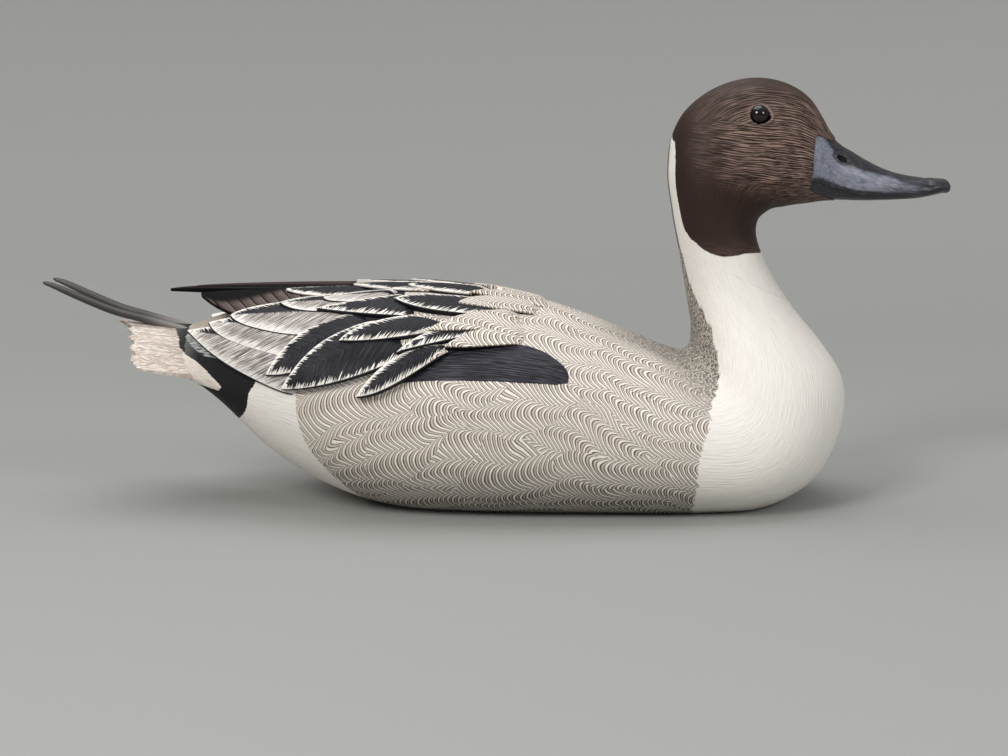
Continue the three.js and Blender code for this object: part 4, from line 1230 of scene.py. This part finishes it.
def feather_sheet(row, number, side, shorter=0.0, rows=72, columns=25):
    """One feather on the coat. Its two edges are quadratic curves from the tip, and between them the top
    rises from the edges as one less a falling exponential of the distance to the nearer edge. Below it walls
    go down, drawn in a little, to an underside that follows the coat. The last fifth before the root dips
    into the back, except on the long feathers."""
    kind, tip, upper, upper_root, lower, lower_root, rise, depth, _ = row
    t = 1 - 0.985 * np.linspace(0, 1, rows) ** 0.85  # 1 at the root, nearly 0 at the tip
    v = (1 - np.cos(np.linspace(0, math.pi, columns))) / 2
    under_v = np.array([0.97, 0.8, 0.5, 0.2, 0.03])
    high, low = bezier(tip, upper, upper_root, t), bezier(tip, lower, lower_root, t)

    def places(shares):
        place = low[:, None] + (high - low)[:, None] * shares[None, :, None]
        place[..., 0] += shorter * (1 - t)[:, None]
        return place

    def laid(place, lift):
        return coat(place[..., 0], side * place[..., 1], lift)

    def with_walls(value, ends=None):
        wall = np.stack([value[:, -1]] * 2 + [value[:, columns // 2]] + [value[:, 0]] * 2, axis=1)
        return np.concatenate([value, wall if ends is None else np.broadcast_to(ends, wall.shape)], axis=1)

    place = places(v)
    dip = 3.4 * ramp(t, 0.8, 1) if kind not in ("blade", "stack") else 0
    lift = (rise[1] + (rise[0] - rise[1]) * t - dip)[:, None] + 0 * v
    base = laid(place, lift)
    to_low = np.linalg.norm(base[:, :, None] - base[None, None, :, 0], axis=-1).min(-1)
    to_high = np.linalg.norm(base[:, :, None] - base[None, None, :, -1], axis=-1).min(-1)
    nearest = np.minimum(to_low, to_high)
    top = laid(place, lift - EDGE_SUNK + CROWN * (1 - np.exp(-nearest / CROWN_WITHIN)))
    sunk = (depth[1] + (depth[0] - depth[1]) * t + dip)[:, None] + 0 * under_v
    points = np.concatenate([top, laid(places(under_v), -sunk)], axis=1)
    barb, black, fringe, cover = feather_marks(row, t, v, place, base, to_low, to_high)
    # Marks the walls under the lower edge for painted shade.
    burned = with_walls(np.zeros_like(barb), np.array([0.0, 0.0, 1.0, 1.0, 1.0]))
    down = down_side(coat, place[..., 0], place[..., 1])
    zero = with_walls(np.zeros_like(barb))
    values = {
        "barbs": np.stack([with_walls(barb), with_walls(nearest, 0.0), zero + number * NOISE_APART], -1),
        "webs": np.stack([with_walls(black), with_walls(fringe), burned], -1),
        "grain": np.stack([with_walls(place[..., 0]), with_walls(down), zero], -1),
        "cover": with_walls(cover),
    }
    return sheet(points, values, crisp=range(columns - 1, points.shape[1]))


FAN_FEATHERS = 12
FAN_COLUMNS = 20  # columns of points to a feather
FAN_REAR, FAN_ROOT = -191, -134  # x of the points in its middle and of its front edge
FAN_HALF_WIDTH = 34
FAN_TOP = 92.5
FAN_DROP = 21  # how far its sides hang below its middle
# Where the black over its roots ends: sideways distance, x.
FAN_BORDER = np.array([[0, -166], [8, -164], [17, -160.5], [25, -156.5], [28, -150], [33, -142], [36, -137]])


def fan_sheet(rows=90):
    """The drooping tail fan: across the bird its height falls with the square of the sideways share. Each of
    its feathers ends in a slightly ragged point, and its top slopes from one edge to the other, so that they
    lap."""
    columns = FAN_FEATHERS * FAN_COLUMNS + 1
    share = np.linspace(-1, 1, columns)
    out = np.abs(share)
    within = np.where(out >= 1, 0.999, (out * FAN_FEATHERS / 2) % 1.0)
    number = np.floor(out * FAN_FEATHERS / 2 - 1e-6)
    tooth = 3.4 * np.abs(2 * within - 1) ** 1.1
    ragged = 0.35 * np.sin(share * 187.0) + 0.25 * np.sin(share * 311.0 + 1.3)
    rear = FAN_REAR + 10 * out - 3.5 * bump(out, 0.1, 0.1) + tooth + ragged
    q = (np.linspace(0, 1, rows) ** 1.1)[:, None]
    x = rear + (FAN_ROOT - rear) * q
    top = FAN_TOP - 5 * q - FAN_DROP * share**2
    thickness = (2.4 + 4.4 * q) * (1 - 0.6 * share**2)
    y = FAN_HALF_WIDTH * share + 0 * x
    lap = (0.55 * (1 - within) + 0.25 * bump(within, 0.5, 0.2)) * ramp(out, 0, 0.02)
    over = np.stack([x, y, top + lap * ramp(q, 1, 0.6)], -1)
    under = np.stack([x, y, top - thickness * ramp(q, -0.03, 0.12)], -1)[:, ::-1]
    points = np.concatenate([over, under], axis=1)
    from_tip = x - rear
    across = 38 * share + 0.16 * from_tip * np.where(within > 0.5, 1, -1) * np.sign(share)
    lap_shade = np.maximum(ramp(within, 0.88, 1), ramp(within, 0.1, 0)) * ramp(from_tip, 0, 3)
    zero = np.zeros_like(x)
    past_border = x - through(FAN_BORDER, np.abs(y))[..., 0]
    smoke = bump(np.abs(y), 5, 8) * bump(past_border, -1, 5) * 0.75

    def both(value):
        return np.concatenate([value, value[:, ::-1]], axis=1)

    values = {
        "barbs": np.stack([both(from_tip), both(across), both(number * 3.1 + zero)], -1),
        "webs": np.stack([both(past_border), both(smoke), both(lap_shade)], -1),
    }
    return sheet(points, values, crisp=[columns - 1, 2 * columns - 1])


# Middle line of a sprig: share of its length, then x, y and z. And its thickness along that length, as a
# share of the greatest.
SPRIG_LINE = np.array([
    [0, -150, 6, 85.5], [0.125, -160, 6.3, 88.6], [0.25, -170, 6.8, 91.2], [0.375, -182, 7.6, 94.5],
    [0.5, -195, 8.6, 98.2], [0.625, -208, 9.4, 103.6], [0.75, -219.5, 10, 108.8],
    [0.875, -225.5, 10.3, 111.4], [1, -230.2, 10.5, 112.9],
])  # fmt: skip
SPRIG_HALF_WIDTH, SPRIG_HALF_HEIGHT = 3.1, 2.0
SPRIG_SHARE = np.array([[0, 0.6], [0.25, 0.95], [0.5, 1], [0.75, 0.85], [0.9, 0.62], [0.97, 0.42], [1, 0.1]])


def sprig_sheet(side, rows=120, columns=32):
    """A slender tail feather: an oval carried along its line, as large as the share there says, with a
    shallow groove down its top."""
    t = np.linspace(0, 1, rows)
    middle = through(SPRIG_LINE, t) * (1, side, 1)
    share = through(SPRIG_SHARE, t)[:, :1]
    ahead = np.gradient(middle, axis=0)
    ahead /= np.linalg.norm(ahead, axis=1, keepdims=True)
    across = np.array([0.0, 1.0, 0.0])
    down = np.cross(ahead, across)
    down /= np.linalg.norm(down, axis=1, keepdims=True)
    turn = np.linspace(0, 2 * math.pi, columns, endpoint=False)
    wide = SPRIG_HALF_WIDTH * share * np.cos(turn)
    deep = (SPRIG_HALF_HEIGHT - 0.5 * bump(turn, math.pi * 1.5, 0.25)) * share * np.sin(turn)
    points = middle[:, None] + wide[..., None] * across + deep[..., None] * down[:, None]
    from_root = SPRIG_LINE[0, 1] - points[..., 0]
    values = {"barbs": np.stack([from_root, 3.0 * turn + 0 * from_root, 0 * from_root + side], -1)}
    return sheet(points, values)


# The stage, in metres. Floor: distance from the middle, height. Lamps: name, place, width, watts, colour.
FLOOR_OUT = np.array([0.02, 0.3, 0.8, 1.5, 1.9, 2.2, 2.5, 2.8, 3.0, 3.1])
FLOOR_UP = np.array([0, 0, 0, 0, 0.04, 0.16, 0.42, 0.9, 1.6, 2.4])
LAMPS = (
    ("key", (-0.75, -1.05, 0.95), 0.5, 13.0, (1.0, 0.985, 0.96)),
    ("side", (0.95, -0.95, 0.75), 0.4, 5.5, (0.97, 0.985, 1.0)),
    ("top", (-0.1, 0.25, 1.5), 1.3, 12.5, (1.0, 1.0, 1.0)),
)
LAMPS_AIM = Vector((0.02, 0, 0.09))
WORLD_STRENGTH = 0.4
# The photograph's view, of the bird's right side from a little above.
CAMERA_AIM = Vector((0.005, 0, 0.062))
CAMERA_DISTANCE = 0.914
CAMERA_ABOVE = math.radians(8.5)
CAMERA_HALF_VIEW = math.radians(16)
SENSOR_WIDTH = 36.0  # millimetres


def lay_floor(scene, finish):
    """A disc whose height goes by the distance from its middle, closed over its centre."""
    turn = np.linspace(0, 2 * math.pi, 96, endpoint=False)
    out, up = FLOOR_OUT[:, None], FLOOR_UP[:, None]
    grid = np.stack([out * np.cos(turn), out * np.sin(turn), up + 0 * turn], -1)
    index = np.arange(grid[..., 0].size).reshape(grid.shape[:2])
    ahead = np.roll(index, -1, axis=1)
    quads = np.stack([index[:-1], index[1:], ahead[1:], ahead[:-1]], -1).reshape(-1, 4)
    mesh = bpy.data.meshes.new("floor")
    mesh.from_pydata(grid.reshape(-1, 3).tolist(), [], [*quads.tolist(), index[0].tolist()])
    mesh.polygons.foreach_set("use_smooth", np.ones(len(mesh.polygons), bool))
    mesh.materials.append(finish)
    ground = bpy.data.objects.new("floor", mesh)
    scene.collection.objects.link(ground)


def light_studio(scene):
    """Three square soft boxes that look at the bird, in a dim white surround."""
    world = bpy.data.worlds.new("studio")
    scene.world = world
    world.use_nodes = True
    colour_in, strength_in = world.node_tree.nodes["Background"].inputs[:2]
    colour_in.default_value = (1.0, 1.0, 1.0, 1.0)
    strength_in.default_value = WORLD_STRENGTH
    for name, place, width, power, tint in LAMPS:
        lamp = bpy.data.lights.new(name, "AREA")
        lamp.shape, lamp.size, lamp.energy, lamp.color = "SQUARE", width, power, tint
        held = bpy.data.objects.new(name, lamp)
        held.location = place
        held.rotation_mode = "QUATERNION"
        held.rotation_quaternion = (LAMPS_AIM - Vector(place)).to_track_quat("-Z", "Y")
        scene.collection.objects.link(held)


def set_camera(scene):
    """A camera on the bird's right, upright and tipped down at it, as wide in view as the photograph."""
    ahead = Vector((0, math.cos(CAMERA_ABOVE), -math.sin(CAMERA_ABOVE)))
    camera = bpy.data.cameras.new("camera")
    camera.sensor_fit, camera.sensor_width = "HORIZONTAL", SENSOR_WIDTH
    camera.lens = SENSOR_WIDTH / 2 / math.tan(CAMERA_HALF_VIEW)
    seen = bpy.data.objects.new("camera", camera)
    seen.location = CAMERA_AIM - CAMERA_DISTANCE * ahead
    seen.rotation_mode = "QUATERNION"
    seen.rotation_quaternion = ahead.to_track_quat("-Z", "Y")
    scene.collection.objects.link(seen)
    scene.camera = seen
    scene.view_settings.view_transform = "Standard"


def settings(context):
    """The sizes and the paints that the sidebar shows."""
    return context.scene.pintail_sizes, context.scene.pintail_paints


class PINTAIL_OT_body(bpy.types.Operator):
    """Body and neck, with the vermiculated flanks, white breast and black rump"""

    bl_idname = "pintail.body"
    bl_label = "Body"

    def execute(self, context):
        sizes, paint = settings(context)
        finish = body_paint(paint, sizes)
        piece("body", [body_sheet()], finish, "painted_wood", "carving")
        piece("wing_base", [wing_base_sheet()], finish, "painted_wood")
        return {"FINISHED"}


class PINTAIL_OT_head(bpy.types.Operator):
    """Head with carved barbs, and the upper neck"""

    bl_idname = "pintail.head"
    bl_label = "Head"

    def execute(self, context):
        sizes, paint = settings(context)
        piece("head", [head_sheet(sizes)], head_paint(paint, sizes), "painted_wood")
        return {"FINISHED"}


class PINTAIL_OT_bill(bpy.types.Operator):
    """Bill with its nostrils, mouth line and nail"""

    bl_idname = "pintail.bill"
    bl_label = "Bill"

    def execute(self, context):
        sizes, paint = settings(context)
        piece("bill", [bill_sheet(sizes)], bill_paint(paint), "painted_wood")
        return {"FINISHED"}


class PINTAIL_OT_eyes(bpy.types.Operator):
    """Glass eyes"""

    bl_idname = "pintail.eyes"
    bl_label = "Eyes"

    def execute(self, context):
        glass = eye_glass()
        for side, word in SIDES:
            piece(f"glass_eye_{word}", [eye_sheet(side)], glass, "glass_eye", f"eye_{word}")
        return {"FINISHED"}


class PINTAIL_OT_feathers(bpy.types.Operator):
    """Wing feathers: long brown ones, streaked tertials, black scapulars and cape with white edges, and cream
    ones at the front"""

    bl_idname = "pintail.feathers"
    bl_label = "Wing feathers"

    def execute(self, context):
        sizes, paint = settings(context)
        fringed, brown = feather_paint(paint, sizes), primary_paint(paint, sizes)
        for side, word in SIDES:
            for kind in ("tertial", "scapular", "cape", "cream"):
                rows = [(n, row) for n, row in enumerate(FEATHERS, 1) if row[0] == kind]
                sheets = [feather_sheet(row, n, side) for n, row in rows]
                piece(f"{kind}s_{word}", sheets, fringed, "painted_wood")
            blade, stack = PRIMARIES
            shorter = LEFT_LONG_TIP_SHORTER if word == "left" else 0
            sheets = [feather_sheet(blade, 31, side, shorter), feather_sheet(stack, 32, side)]
            piece(f"primaries_{word}", sheets, brown, "painted_wood")
        return {"FINISHED"}


class PINTAIL_OT_tail(bpy.types.Operator):
    """Tail fan and the two long middle tail feathers"""

    bl_idname = "pintail.tail"
    bl_label = "Tail"

    def execute(self, context):
        sizes, paint = settings(context)
        piece("tail_fan", [fan_sheet()], fan_paint(paint, sizes), "painted_wood")
        brown = sprig_paint(paint)
        for side, word in SIDES:
            piece(f"sprig_{word}", [sprig_sheet(side)], brown, "sprig_paint", f"tail_sprig_{word}")
        return {"FINISHED"}


class PINTAIL_OT_stage(bpy.types.Operator):
    """Pale floor that rises round the bird like a wide dish, soft lights and the camera"""

    bl_idname = "pintail.stage"
    bl_label = "Stage"

    def execute(self, context):
        _, paint = settings(context)
        lay_floor(context.scene, floor_paint(paint))
        light_studio(context.scene)
        set_camera(context.scene)
        return {"FINISHED"}


class PINTAIL_PT_sidebar(bpy.types.Panel):
    """Buttons for the pieces, over their sizes and paints"""

    bl_idname = "PINTAIL_PT_sidebar"
    bl_label = "Pintail"
    bl_space_type = "VIEW_3D"
    bl_region_type = "UI"
    bl_category = "Pintail"

    def draw(self, context):
        for maker in MAKERS:
            self.layout.operator(maker.bl_idname)
        for group in settings(context):
            box = self.layout.box()
            for name in group.__annotations__:
                box.prop(group, name)


MAKERS = (
    PINTAIL_OT_body,
    PINTAIL_OT_head,
    PINTAIL_OT_bill,
    PINTAIL_OT_eyes,
    PINTAIL_OT_feathers,
    PINTAIL_OT_tail,
    PINTAIL_OT_stage,
)
CLASSES = (PintailSizes, PintailPaints, *MAKERS, PINTAIL_PT_sidebar)


def register():
    for made in CLASSES:
        bpy.utils.register_class(made)
    bpy.types.Scene.pintail_sizes = PointerProperty(type=PintailSizes)
    bpy.types.Scene.pintail_paints = PointerProperty(type=PintailPaints)


def unregister():
    del bpy.types.Scene.pintail_paints
    del bpy.types.Scene.pintail_sizes
    for made in reversed(CLASSES):
        bpy.utils.unregister_class(made)


def main():
    register()
    for maker in MAKERS:
        group, name = maker.bl_idname.split(".")
        getattr(getattr(bpy.ops, group), name)()
    bpy.context.view_layer.update()


if __name__ == "__main__":
    main()
